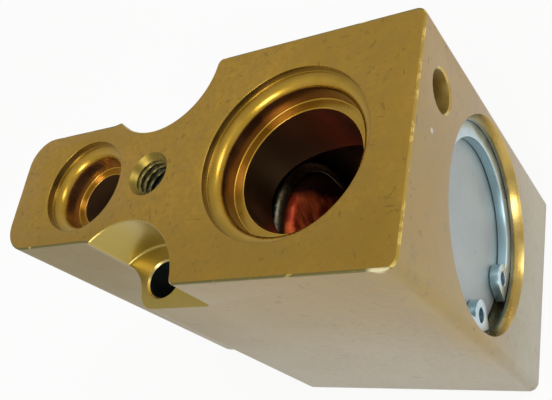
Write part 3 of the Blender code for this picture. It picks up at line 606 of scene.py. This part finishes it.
def tapped_metal():
    """Tapped hole: olive chromate at the mouth, darker further down as painted shade."""
    n = Nodes("tapped_metal")
    stain = n.ramp(n.noise(500, 3), 0.35, 0.65)
    z = n.split(n.coords)[2]
    # Painted shade: darker with depth in the hole.
    deep = n.ramp(z, (DEPTH - 1.4) * MM, (DEPTH - 5.0) * MM)
    mouth = n.mix(stain, (0.23, 0.185, 0.06), (0.33, 0.27, 0.09))
    base = n.mix(deep, mouth, (0.05, 0.07, 0.06))
    n.principled(Base_Color=base, Metallic=0.95, Roughness=n.ramp(stain, 0, 1, 0.34, 0.46))
    return n.material


def gold_drilled():
    """Blind hole in the disc end: pale green above and brown and dull below, as painted light and
    shade, and darker further in as painted shade.
    """
    n = Nodes("gold_drilled")
    middle = (DEPTH - END_HOLE_BELOW_FACE) * MM
    x, _, z = n.split(n.coords)
    height = n.math("MULTIPLY_ADD", n.noise(500, 3), 0.001, z)
    # Painted light: paler and greener on the upper wall.
    upper = n.ramp(height, middle - 0.0008, middle + 0.0020)
    base = n.mix(upper, (0.60, 0.42, 0.13), (0.90, 0.92, 0.60))
    # Painted shade: darker deeper in the hole.
    base = n.mix(n.ramp(x, 0.0325, 0.0280, 0.0, 0.45), base, (0.26, 0.18, 0.06))
    n.principled(Base_Color=base, Metallic=0.95, Roughness=0.5,
                 Normal=n.bump(n.noise(900, 3), 0.00004, 0.4))
    return n.material


def zinc_disc():
    """Pale zinc plate with faint mottling and specks."""
    n = Nodes("zinc_disc")
    cloud = n.ramp(n.noise(130, 5, 0.6), 0.3, 0.7)
    base = n.mix(cloud, (0.38, 0.42, 0.415), (0.455, 0.49, 0.485))
    specks = n.pits(800, 0.68, 0.40)
    base = n.mix(n.math("MULTIPLY", specks, 0.5), base, (0.22, 0.26, 0.27))
    n.principled(Base_Color=base, Metallic=0.85, Roughness=n.ramp(cloud, 0, 1, 0.46, 0.54),
                 Normal=n.bump(n.noise(1500, 3), 0.00002, 0.3))
    return n.material


def circlip_steel():
    """Zinc-plated spring steel with a blue cast, stamped and tumbled."""
    n = Nodes("circlip_steel")
    cloud = n.ramp(n.noise(220, 4), 0.3, 0.7)
    base = n.mix(cloud, (0.46, 0.58, 0.64), (0.62, 0.72, 0.77))
    specks = n.pits(900, 0.68, 0.40)
    base = n.mix(n.math("MULTIPLY", specks, 0.5), base, (0.20, 0.25, 0.27))
    # Painted reflection: bluer on the walls that do not face along the axis.
    side_wall_reflection = n.ramp(n.split(n.facing)[0], 0.7, 0.3)
    base = n.mix(side_wall_reflection, base, (0.42, 0.60, 0.68))
    n.principled(Base_Color=base, Metallic=0.92, Roughness=n.ramp(cloud, 0, 1, 0.27, 0.38),
                 Normal=n.bump(n.noise(900, 3), 0.00002, 0.3))
    return n.material


def dark_steel():
    """Drawn steel of the head's rim, dull and nearly black."""
    n = Nodes("dark_steel")
    cloud = n.ramp(n.noise(420, 5, 0.65), 0.35, 0.65)
    base = n.mix(cloud, (0.05, 0.055, 0.045), (0.16, 0.135, 0.08))
    n.principled(Base_Color=base, Metallic=1.0, Roughness=n.ramp(cloud, 0, 1, 0.26, 0.48),
                 Normal=n.bump(n.noise(800, 4), 0.00012, 0.8))
    return n.material


def copper():
    """Pressed copper shell, heat-stained, with painted shade that darkens it towards one side."""
    n = Nodes("copper")
    stain = n.ramp(n.noise(210, 5, 0.65, distortion=0.8), 0.38, 0.62)
    base = n.mix(stain, (0.36, 0.040, 0.014), (0.95, 0.20, 0.055))
    _, y, z = n.split(n.coords)
    # Painted shade: near black where the shell sits higher and further towards +Y, with a ragged edge.
    height = n.math("MULTIPLY_ADD", y, COPPER_SHADE_SLOPE, z)
    height = n.math("MULTIPLY_ADD", n.noise(350, 4), 0.006, height)
    copper_shade = n.ramp(height, COPPER_SHADE_FROM, COPPER_SHADE_FROM + COPPER_SHADE_FADE)
    base = n.mix(copper_shade, base, (0.045, 0.012, 0.010))
    n.principled(Base_Color=base, Metallic=0.6, Roughness=n.ramp(stain, 0, 1, 0.42, 0.6),
                 Specular_IOR_Level=0.2, Normal=n.bump(n.noise(320, 4), 0.0003, 0.8))
    return n.material


def bright_steel():
    """Clean turned steel of the stem, the screw and the small inner pieces."""
    n = Nodes("bright_steel")
    cloud = n.ramp(n.noise(260, 4), 0.3, 0.7)
    base = n.mix(cloud, (0.50, 0.50, 0.48), (0.62, 0.61, 0.58))
    n.principled(Base_Color=base, Metallic=1.0, Roughness=n.ramp(cloud, 0, 1, 0.24, 0.34),
                 Normal=n.bump(n.noise(1200, 2), 0.00002, 0.3))
    return n.material


def seal_rubber():
    """Dark green rubber of the O-rings."""
    n = Nodes("seal_rubber")
    cloud = n.ramp(n.noise(400, 4), 0.3, 0.7)
    base = n.mix(cloud, (0.012, 0.014, 0.012), (0.022, 0.026, 0.020))
    n.principled(Base_Color=base, Metallic=0.0, Roughness=n.ramp(cloud, 0, 1, 0.45, 0.6),
                 Normal=n.bump(n.noise(1500, 2), 0.00002, 0.4))
    return n.material


def step_arcs():
    """Centres and turn angle of the S-curve from the narrow to the wide part (+Y side)."""
    rise = (WIDTH - NARROW_WIDTH) / 2
    total = STEP_HOLLOW_R + STEP_CREST_R
    turn = math.degrees(math.acos(1 - rise / total))
    start_u = STEP_END - total * math.sin(math.radians(turn))
    hollow = (start_u, NARROW_WIDTH / 2 + STEP_HOLLOW_R)
    crest = (STEP_END, WIDTH / 2 - STEP_CREST_R)
    return hollow, crest, turn


def block_outline():
    """Outline of the block in (u, v), u from the narrow end; half of it is mirrored."""
    hollow, crest, turn = step_arcs()
    narrow, wide = NARROW_WIDTH / 2, WIDTH / 2
    corner = NARROW_CORNER_R
    half = arc((corner, narrow - corner), corner, 180, 90, 24)
    half += arc(hollow, STEP_HOLLOW_R, -90, -90 + turn, 32)
    half += arc(crest, STEP_CREST_R, 90 + turn, 90, 20)[1:]
    end = (LENGTH - WIDE_CORNER_R, wide - WIDE_CORNER_R)
    half += arc(end, WIDE_CORNER_R, 90, 0, 14)
    return half + [(u, -v) for u, v in reversed(half)]


def pocket_outline(side, grow=0.0):
    """Milled pocket with rounded lips where it breaks out of the block's side."""
    centre = (POCKET_U, POCKET_V)
    hollow, _, _ = step_arcs()
    pocket_r, mouth_r, heel_r = POCKET_R + grow, POCKET_MOUTH_R - grow, POCKET_HEEL_R - grow
    lip_v = WIDTH / 2 - POCKET_MOUTH_R + POCKET_LIP_OVERRUN
    lip_reach = POCKET_R + POCKET_MOUTH_R
    lip = (POCKET_U + math.sqrt(lip_reach ** 2 - (POCKET_V - lip_v) ** 2), lip_v)
    heel_reach = STEP_HOLLOW_R + POCKET_HEEL_R - POCKET_LIP_OVERRUN
    heel = circle_meet(centre, POCKET_R + POCKET_HEEL_R, hollow, heel_reach, 1)
    lip_back = bearing(lip, centre)
    points = arc(lip, mouth_r, 90, lip_back % 360, 12)
    points += arc(centre, pocket_r, bearing(centre, lip), bearing(centre, heel), 90)[1:]
    points += arc(heel, heel_r, bearing(heel, centre), bearing(heel, hollow), 8)[1:]
    points += [(hollow[0], WIDTH / 2 + 4), (lip[0], WIDTH / 2 + 4)]
    return [(u, side * v) for u, v in points]


def pocket_cutter(side, material):
    """Pocket with a filleted floor edge and a broken top edge."""
    loops = []
    fillet = POCKET_FLOOR_R
    for i in range(6):
        angle = math.radians(90 * i / 5)
        grow = -fillet * (1 - math.sin(angle))
        height = -POCKET_DEPTH + fillet * (1 - math.cos(angle))
        loops.append([(x, y, height) for x, y in pocket_outline(side, grow)])
    for grow, height in ((0.0, -POCKET_BREAK), (POCKET_BREAK, 0.0), (POCKET_BREAK + 0.5, 0.5)):
        loops.append([(x, y, height) for x, y in pocket_outline(side, grow)])
    return lofted("pocket_cutter", loops, TOP, material)


def flare(mouth_r, wall_r, depth):
    """Top of a chamfer, carried on past the face at height 0."""
    return (mouth_r + (mouth_r - wall_r) / depth * OVER, OVER)


def port_profile(radii, reach, neck=()):
    """Stepped port, in (radius, height) below a face at height 0."""
    mouth_r, wall_r, seal_r, bore_r = radii
    profile = [(0, OVER), flare(mouth_r, wall_r, PORT_CHAMFER_DEPTH),
               (wall_r, -PORT_CHAMFER_DEPTH, PORT_MOUTH_BREAK),
               (wall_r, -PORT_WALL_DEPTH, PORT_WALL_FOOT_R),
               (wall_r - PORT_LEDGE, -PORT_WALL_DEPTH), (seal_r, -PORT_CONE_DEPTH, PORT_CREST_R),
               (seal_r, -PORT_LAND_DEPTH, PORT_LAND_FOOT_R),
               (bore_r, -PORT_LAND_DEPTH, PORT_LAND_BREAK), (bore_r, -reach)]
    profile.extend(neck)
    return rounded(profile + [(0, profile[-1][1])])


def port_cutter(name, place, u, radii, reach, steps, face_z, rim, inner, neck=()):
    """Stepped port: matte like the face outside, lacquer-bright at the cone, with painted shade on the
    seal wall and the bore in its own tones.
    """
    centre = (u - LENGTH / 2, 0, face_z)
    _, wall_r, seal_r, _ = radii
    material = gold_turned(f"gold_{name}", centre, 2, shaded=(seal_r + 0.5, wall_r))
    cutter = turned(name, port_profile(radii, reach, neck), shifted(place, u), material, steps)
    outward = 1 if face_z > 0 else -1

    def wall_between(face, low, high):
        depth = (face_z - face.center.z / MM) * outward
        return low < depth < high and abs(face.normal.z) < 0.3

    paint(cutter, rim, lambda face: (face.center.z - face_z * MM) * outward > 0)
    mouth = gold_turned(f"gold_{name}_mouth", centre, 2, MOUTH_GOLD, (0.26, 0.34), 0.3)
    paint(cutter, mouth, lambda face: wall_between(face, 0, PORT_WALL_DEPTH))
    seal_tones, bore = inner
    # The seal wall takes darker tones as painted shade.
    seal = gold_turned(f"gold_{name}_seal", centre, 2, seal_tones, (0.24, 0.32), 0.15)
    paint(cutter, seal, lambda face: wall_between(face, PORT_CONE_DEPTH, PORT_LAND_DEPTH))
    deep = PORT_LAND_DEPTH + PORT_LAND_BREAK
    paint(cutter, bore, lambda face: wall_between(face, deep, reach))
    return cutter


def axial_bore_profile():
    """All bores on the valve axis, in (radius, distance from the narrow end)."""
    lead = (CAP_BORE_MOUTH_R - CAP_BORE_R) / CAP_BORE_MOUTH_DEPTH
    seal_in, seal_out = HEAD_SEAL_GROOVE_R
    groove_end = RING_FRONT_U + RING_CLEARANCE
    return [
        (0, -OVER), (SCREW_MOUTH_R + OVER, -OVER),
        (SCREW_HEAD_BORE_R, SCREW_MOUTH_R - SCREW_HEAD_BORE_R),
        (SCREW_HEAD_BORE_R, SCREW_HEAD_BORE_U), (SCREW_BORE_R, SCREW_HEAD_BORE_U + SCREW_BORE_LEAD),
        (SCREW_BORE_R, SCREW_BORE_END_U), (CHAMBER_R, SCREW_BORE_END_U), (CHAMBER_R, CHAMBER_END_U),
        (SEAT_CONE_R, SEAT_CONE_END_U), (SEAT_R, SEAT_U), (ORIFICE_R, ORIFICE_U),
        (ORIFICE_R, OUTLET_CHAMBER_U), (OUTLET_CHAMBER_R, OUTLET_CHAMBER_U),
        (OUTLET_CHAMBER_R, GUIDE_U), (GUIDE_R, GUIDE_U), (GUIDE_R, ROD_SEAL_POCKET_U),
        (ROD_SEAL_POCKET_R, ROD_SEAL_POCKET_U), (ROD_SEAL_POCKET_R, NECK_BORE_U),
        (NECK_BORE_R, NECK_BORE_U), (NECK_BORE_R, CAVITY_FLOOR_U),
        (seal_in, CAVITY_FLOOR_U), (seal_in, HEAD_SEAL_GROOVE_U),
        (seal_out, HEAD_SEAL_GROOVE_U), (seal_out, CAVITY_FLOOR_U),
        (CAVITY_R, CAVITY_FLOOR_U), (CAVITY_R, CAP_SHOULDER_U), (CAP_BORE_R, CAP_SHOULDER_U),
        (CAP_BORE_R, CAP_FRONT_U), (GROOVE_R, CAP_FRONT_U), (GROOVE_R, groove_end),
        (CAP_BORE_R, groove_end), (CAP_BORE_R, LENGTH - CAP_BORE_MOUTH_DEPTH),
        (CAP_BORE_MOUTH_R + lead * OVER, LENGTH + OVER), (0, LENGTH + OVER),
    ]


def thread_cutter(name, place, material):
    """Tapped hole as a helical solid: the radius follows a V thread along each ray."""
    minor, major = FLANGE_THREAD_R
    rows = round(FLANGE_HOLE_DEPTH * THREAD_ROWS_PER_MM)
    bm = bmesh.new()
    rings = []
    for j in range(rows + 1):
        height = OVER - (FLANGE_HOLE_DEPTH + OVER) * j / rows
        ring = []
        for i in range(SMALL):
            turn = i / SMALL
            phase = (height / FLANGE_THREAD_PITCH - turn) % 1.0
            vee = max(0.0, 1.0 - abs(phase - 0.5) / THREAD_FLANK)
            radius = minor + (major - minor) * min(1.0, vee * THREAD_FLAT)
            ring.append(bm.verts.new((*polar(radius, 360 * turn), height)))
        rings.append(ring)
    bm.faces.new(rings[0])
    bm.faces.new(rings[-1])
    for high, low in zip(rings, rings[1:]):
        for i in range(SMALL):
            j = (i + 1) % SMALL
            bm.faces.new((high[i], high[j], low[j], low[i]))
    return finish_mesh(bm, name, place, material)


def axial_cutter():
    """The bores on the valve axis, dark with painted shade, with the disc's seat in a dark olive gold
    of its own, also painted shade, and both mouths in their own gold.
    """
    centre = (0, 0, DEPTH / 2)
    axial = gold_turned("gold_axial", centre, 0, AXIAL_BORE_SHADE_GOLD, (0.28, 0.34), 0.0)
    taper = gold_turned("gold_taper", centre, 0, TAPER_GOLD, (0.24, 0.32))
    groove = gold_turned("gold_groove", centre, 0, GROOVE_SHADE_GOLD, (0.30, 0.38))
    bore = turned("axial_bore", axial_bore_profile(), AXIS, axial, FINE)
    shoulder_x = (CAP_SHOULDER_U - LENGTH / 2) * MM
    paint(bore, groove, lambda face: face.center.x > shoulder_x)
    taper_x = (LENGTH / 2 - CAP_BORE_MOUTH_DEPTH) * MM
    paint(bore, taper, lambda face: abs(face.center.x) > taper_x)
    return bore


def port_cutters(rim):
    """Suction and evaporator ports, which meet on the axis, and the two liquid ports."""
    half = DEPTH / 2
    # The seal tones are painted shade; so are the large bore's, with a painted reflection of the copper
    # shell.
    large = (SEAL_SHADE_GOLD, gold_bore("gold_bore", BORE_SHADE_OLIVE, BORE_SHADE_COPPER_RED))
    small = (SMALL_SEAL_SHADE_GOLD, gold_bore("gold_small_bore", SMALL_BORE, SMALL_BORE))
    large_reach = half + LARGE_PORTS_OVERLAP
    inlet_reach = half - INLET_ABOVE_AXIS
    outlet_reach = half - OUTLET_NECK_BELOW_AXIS
    neck = [(OUTLET_NECK_R, -outlet_reach), (OUTLET_NECK_R, OUTLET_NECK_END - half)]
    return [
        port_cutter("suction_port", TOP, SUCTION_U, SUCTION_R, large_reach, FINE, DEPTH, rim,
                    large),
        port_cutter("evaporator_port", REAR, SUCTION_U, SUCTION_R, large_reach, FINE, 0, rim,
                    large),
        port_cutter("inlet_port", TOP, INLET_U, LIQUID_R, inlet_reach, MEDIUM, DEPTH, rim, small),
        port_cutter("outlet_port", REAR, OUTLET_U, LIQUID_R, outlet_reach, MEDIUM, 0, rim, small,
                    neck),
    ]


def flange_hole_cutters():
    """Chamfer and thread of the tapped hole between the ports."""
    mouth = FLANGE_HOLE_MOUTH_R
    core = FLANGE_THREAD_R[0] - FLANGE_CORE_INSET
    chamfer = [(0, OVER), (mouth + OVER, OVER), (core, core - mouth), (0, core - mouth)]
    centre = (FLANGE_HOLE_U - LENGTH / 2, 0, DEPTH)
    gold = gold_turned("gold_flange_hole", centre, 2, TAPPED_GOLD, (0.34, 0.42), 0.0)
    place = shifted(TOP, FLANGE_HOLE_U)
    return [turned("flange_chamfer", chamfer, place, gold, SMALL),
            thread_cutter("flange_thread", place, tapped_metal())]


def end_hole_cutter():
    """Blind hole in the disc end, with a bright rim."""
    lead = END_HOLE_MOUTH_R - END_HOLE_R
    tip = -END_HOLE_DEPTH - END_HOLE_R * DRILL_POINT_SLOPE
    drill = [(0, OVER), (END_HOLE_MOUTH_R + OVER, OVER), (END_HOLE_R, -lead),
             (END_HOLE_R, -END_HOLE_DEPTH), (0, tip)]
    place = shifted(DISC_FACE, END_HOLE_BELOW_FACE, END_HOLE_V)
    centre = (0, END_HOLE_V, DEPTH - END_HOLE_BELOW_FACE)
    rim = gold_turned("gold_end_rim", centre, 0, TAPER_GOLD)
    hole = turned("end_hole", drill, place, rim, SMALL)
    inside_x = (LENGTH / 2 - 1) * MM
    paint(hole, gold_drilled(), lambda face: face.center.x < inside_x)
    return hole


def bolt_cutters():
    """Pocket and through hole of each bolt."""
    wide = BOLT_HOLE_R + BOLT_CHAMFER
    floor = -POCKET_DEPTH
    bolt = [(0, floor + OVER), (wide + OVER, floor + OVER), (BOLT_HOLE_R, floor - BOLT_CHAMFER),
            (BOLT_HOLE_R, BOLT_CHAMFER - DEPTH), (wide + OVER, -DEPTH - OVER),
            (0, -DEPTH - OVER)]
    milled = gold_milled()
    drilled = gold_turned("drilled_metal", (0, 0, 0), 2, BOLT_HOLE_SHADE, (0.32, 0.4))
    cutters = []
    for side in (1, -1):
        cutters.append(pocket_cutter(side, milled))
        centre = (BOLT_U - LENGTH / 2, side * BOLT_V, 0)
        seat = gold_turned(f"gold_bolt_hole_{side + 1}", centre, 2, SEAT_GOLD, (0.3, 0.38))
        hole = turned("bolt_hole", bolt, shifted(TOP, BOLT_U, side * BOLT_V), seat, SMALL)
        # The walls of the through hole take the painted shade.
        paint(hole, drilled, lambda face: abs(face.normal.z) < 0.1)
        cutters.append(hole)
    return cutters


def build_block():
    """Block with all its cuts; every cutter leaves its own gold on the faces that it cuts."""
    matte = gold_matte()
    block = extruded("valve_body", block_outline(), -DEPTH, 0.0, TOP, matte, EDGE_BREAK)
    paint(block, gold_extruded(), lambda face: abs(face.normal.z) < 0.2)
    paint(block, gold_edge(), lambda face: 0.2 < abs(face.normal.z) < 0.98)
    carve(block, [axial_cutter(), *port_cutters(matte), *flange_hole_cutters(),
                  end_hole_cutter(), *bolt_cutters()])
    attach(block, "valve")
    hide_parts("valve_block")


def snap_ring_outline():
    """Eccentric ring, open between two lugs whose eyes take the pliers."""
    middle = sum(LUG_ANGLES) / 2
    inner_centre = polar(RING_ECCENTRICITY, middle)
    first = polar(LUG_HOLE_PITCH_R, LUG_ANGLES[0])
    last = polar(LUG_HOLE_PITCH_R, LUG_ANGLES[1])
    outer = arc((0, 0), RING_OUTER_R, LUG_BACK_ANGLES[0], LUG_BACK_ANGLES[1] + 360, 180)
    last_heel = arc((0, 0), RING_LUG_OUTER_R, LUG_BACK_ANGLES[1] + 360 + LUG_HEEL_STEP,
                    LUG_END_ANGLES[1] + 360, 10)
    root_last = circle_meet(last, LUG_R, inner_centre, RING_INNER_R, 1)
    root_first = circle_meet(first, LUG_R, inner_centre, RING_INNER_R, -1)
    start = LUG_END_ANGLES[1] + 90
    sweep = (bearing(last, root_last) - start) % 360
    last_eye = arc(last, LUG_R, start, start + sweep, 28)
    inner_from = bearing(inner_centre, root_last)
    inner_to = bearing(inner_centre, root_first)
    inner = arc(inner_centre, RING_INNER_R, inner_from % 360, inner_to, 160)[1:-1]
    end = LUG_END_ANGLES[0] - 90
    sweep = (end - bearing(first, root_first)) % 360
    first_eye = arc(first, LUG_R, end - sweep, end, 28)
    first_heel = arc((0, 0), RING_LUG_OUTER_R, LUG_END_ANGLES[0],
                     LUG_BACK_ANGLES[0] - LUG_HEEL_STEP, 10)
    return outer + last_heel + last_eye + inner + first_eye + first_heel


def build_circlip():
    """Circlip as stamped, with the eyes' front edges broken."""
    steel = circlip_steel()
    back = RING_FRONT_U - RING_THICKNESS
    ring = extruded("circlip", snap_ring_outline(), back - RING_SEATED, RING_FRONT_U, AXIS, steel,
                    RING_EDGE_BREAK, 2)
    over = 0.5
    profile = [(0, back - over), (LUG_HOLE_R, back - over),
               (LUG_HOLE_R, RING_FRONT_U - LUG_EYE_BREAK),
               (LUG_HOLE_R + LUG_EYE_BREAK + over, RING_FRONT_U + over), (0, RING_FRONT_U + over)]
    eyes = []
    for angle in LUG_ANGLES:
        x, y = polar(LUG_HOLE_PITCH_R, angle)
        eyes.append(turned("lug_eye", profile, shifted(AXIS, x, y), steel, SMALL))
    carve(ring, eyes)
    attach(ring, "valve")
    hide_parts("snap_ring")


def fine_copy(node, name, material):
    """Copy of a CAD node with merged facets and smooth shading."""
    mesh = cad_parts[node].data.copy()
    mesh.name = name
    bm = bmesh.new()
    bm.from_mesh(mesh)
    bmesh.ops.remove_doubles(bm, verts=bm.verts, dist=2e-6)
    bmesh.ops.dissolve_limit(bm, angle_limit=math.radians(0.5), verts=bm.verts, edges=bm.edges)
    bmesh.ops.recalc_face_normals(bm, faces=bm.faces)
    bm.to_mesh(mesh)
    bm.free()
    mesh.materials.clear()
    mesh.materials.append(material)
    mesh.shade_smooth()
    mesh.set_sharp_from_angle(angle=SMOOTH_ANGLE)
    copy = bpy.data.objects.new(name, mesh)
    bpy.context.scene.collection.objects.link(copy)
    return copy


def build_spring():
    """Spring in two halves that meet in the middle, each named after the piece at its end."""
    low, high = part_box("superheat_spring")
    middle = (low + high) / 2
    steel = circlip_steel()
    for body, end in (("stem", high.x), ("screw_seal", low.x)):
        half = fine_copy("superheat_spring", f"spring_at_{body}", steel)
        bm = bmesh.new()
        bm.from_mesh(half.data)
        away = (1.0 if end < middle.x else -1.0, 0, 0)
        cut = bmesh.ops.bisect_plane(bm, geom=bm.verts[:] + bm.edges[:] + bm.faces[:],
                                     plane_co=middle, plane_no=away, clear_outer=True)
        edges = [item for item in cut["geom_cut"] if isinstance(item, bmesh.types.BMEdge)]
        bmesh.ops.holes_fill(bm, edges=edges)
        bm.to_mesh(half.data)
        bm.free()
        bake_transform(half)
        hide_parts("superheat_spring")


def build_inner_pieces():
    """Smooth copies of all other CAD nodes, on the bodies that they move with."""
    steel = bright_steel()
    rubber = seal_rubber()
    zinc = zinc_disc()
    head = dark_steel()
    shell = copper()
    looks = {
        "valve": [("end_cap", zinc, "zinc_plate"), ("head_lower_housing", head, "dark_steel"),
                  ("head_upper_shell", shell, "copper"), ("head_diaphragm", steel, "bright_steel"),
                  ("charge_plug", steel, "bright_steel"), ("rod_oring_retainer", steel, "bright_steel"),
                  ("end_cap_oring", rubber, "seal_rubber"), ("head_oring", rubber, "seal_rubber"),
                  ("rod_oring", rubber, "seal_rubber")],
        "stem": [("pressure_pad", steel, "bright_steel"), ("push_rod", steel, "bright_steel"),
                 ("valve_ball", steel, "bright_steel"), ("ball_carrier", steel, "bright_steel"),
                 ("damping_clip", steel, "bright_steel")],
        "screw_seal": [("adjusting_screw_oring", rubber, "seal_rubber")],
        "screw": [("adjusting_screw", steel, "bright_steel")],
    }
    for body, rows in looks.items():
        for node, material, slot in rows:
            copy = fine_copy(node, f"{node}_fine", material)
            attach(copy, body)
            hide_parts(node)


def build_camera():
    """Camera as solved from the photograph."""
    data = bpy.data.cameras.new("camera")
    camera = bpy.data.objects.new("camera", data)
    bpy.context.scene.collection.objects.link(camera)
    bpy.context.scene.camera = camera
    right, down, forward = (Vector(v) for v in (CAMERA_RIGHT, CAMERA_DOWN, CAMERA_FORWARD))
    turn = Matrix((right, -down, -forward)).transposed().to_4x4()
    camera.matrix_world = Matrix.Translation(Vector(CAMERA_AT) * MM) @ turn
    data.sensor_width = 36.0
    data.lens = FOCAL_PX / IMAGE[0] * data.sensor_width
    data.shift_x = (IMAGE[0] / 2 - PRINCIPAL_PX[0]) / IMAGE[0]
    data.shift_y = (PRINCIPAL_PX[1] - IMAGE[1] / 2) / IMAGE[0]
    data.clip_start = 0.005


def area_light(name, direction, power):
    data = bpy.data.lights.new(name, "AREA")
    data.shape = "RECTANGLE"
    data.size = LAMP_SIDE * MM
    data.size_y = LAMP_SIDE * MM
    data.energy = power
    light = bpy.data.objects.new(name, data)
    bpy.context.scene.collection.objects.link(light)
    aim = Vector(direction).normalized()
    light.location = (Vector(LAMP_TARGET) + aim * LAMP_DISTANCE) * MM
    light.rotation_euler = aim.to_track_quat("Z", "Y").to_euler()


def build_stage():
    """Pale floor that the camera sees as near white; the rest of it takes the shadow."""
    bm = bmesh.new()
    bmesh.ops.create_grid(bm, x_segments=1, y_segments=1, size=FLOOR_HALF_SIZE)
    mesh = bpy.data.meshes.new("floor")
    bm.to_mesh(mesh)
    bm.free()
    floor = bpy.data.objects.new("floor", mesh)
    bpy.context.scene.collection.objects.link(floor)
    n = Nodes("floor")
    n.principled(Base_Color=FLOOR_TONE, Roughness=0.9)
    ray = n.add("ShaderNodeLightPath").outputs
    seen = n.math("MAXIMUM", ray["Is Camera Ray"], ray["Is Glossy Ray"])
    seen = n.math("MAXIMUM", seen, ray["Is Transmission Ray"])
    white = n.add("ShaderNodeEmission", {"Strength": 1.0}).outputs[0]
    mix = n.add("ShaderNodeMixShader", {"Fac": n.math("MULTIPLY", seen, FLOOR_WHITE)})
    n.tree.links.new(n.shader.outputs[0], mix.inputs[1])
    n.tree.links.new(white, mix.inputs[2])
    n.tree.links.new(mix.outputs[0], n.tree.nodes["Material Output"].inputs["Surface"])
    mesh.materials.append(n.material)


def build_world():
    world = bpy.data.worlds.new("world")
    bpy.context.scene.world = world
    world.use_nodes = True
    background = world.node_tree.nodes["Background"]
    background.inputs["Color"].default_value = WORLD_TINT
    background.inputs["Strength"].default_value = WORLD_STRENGTH


def build_lights():
    area_light("left", *LEFT_LAMP)
    area_light("right", *RIGHT_LAMP)


build_camera()
build_stage()
build_world()
build_lights()
build_block()
build_circlip()
build_inner_pieces()
build_spring()
bpy.context.scene.view_settings.view_transform = "Standard"
bpy.context.view_layer.update()
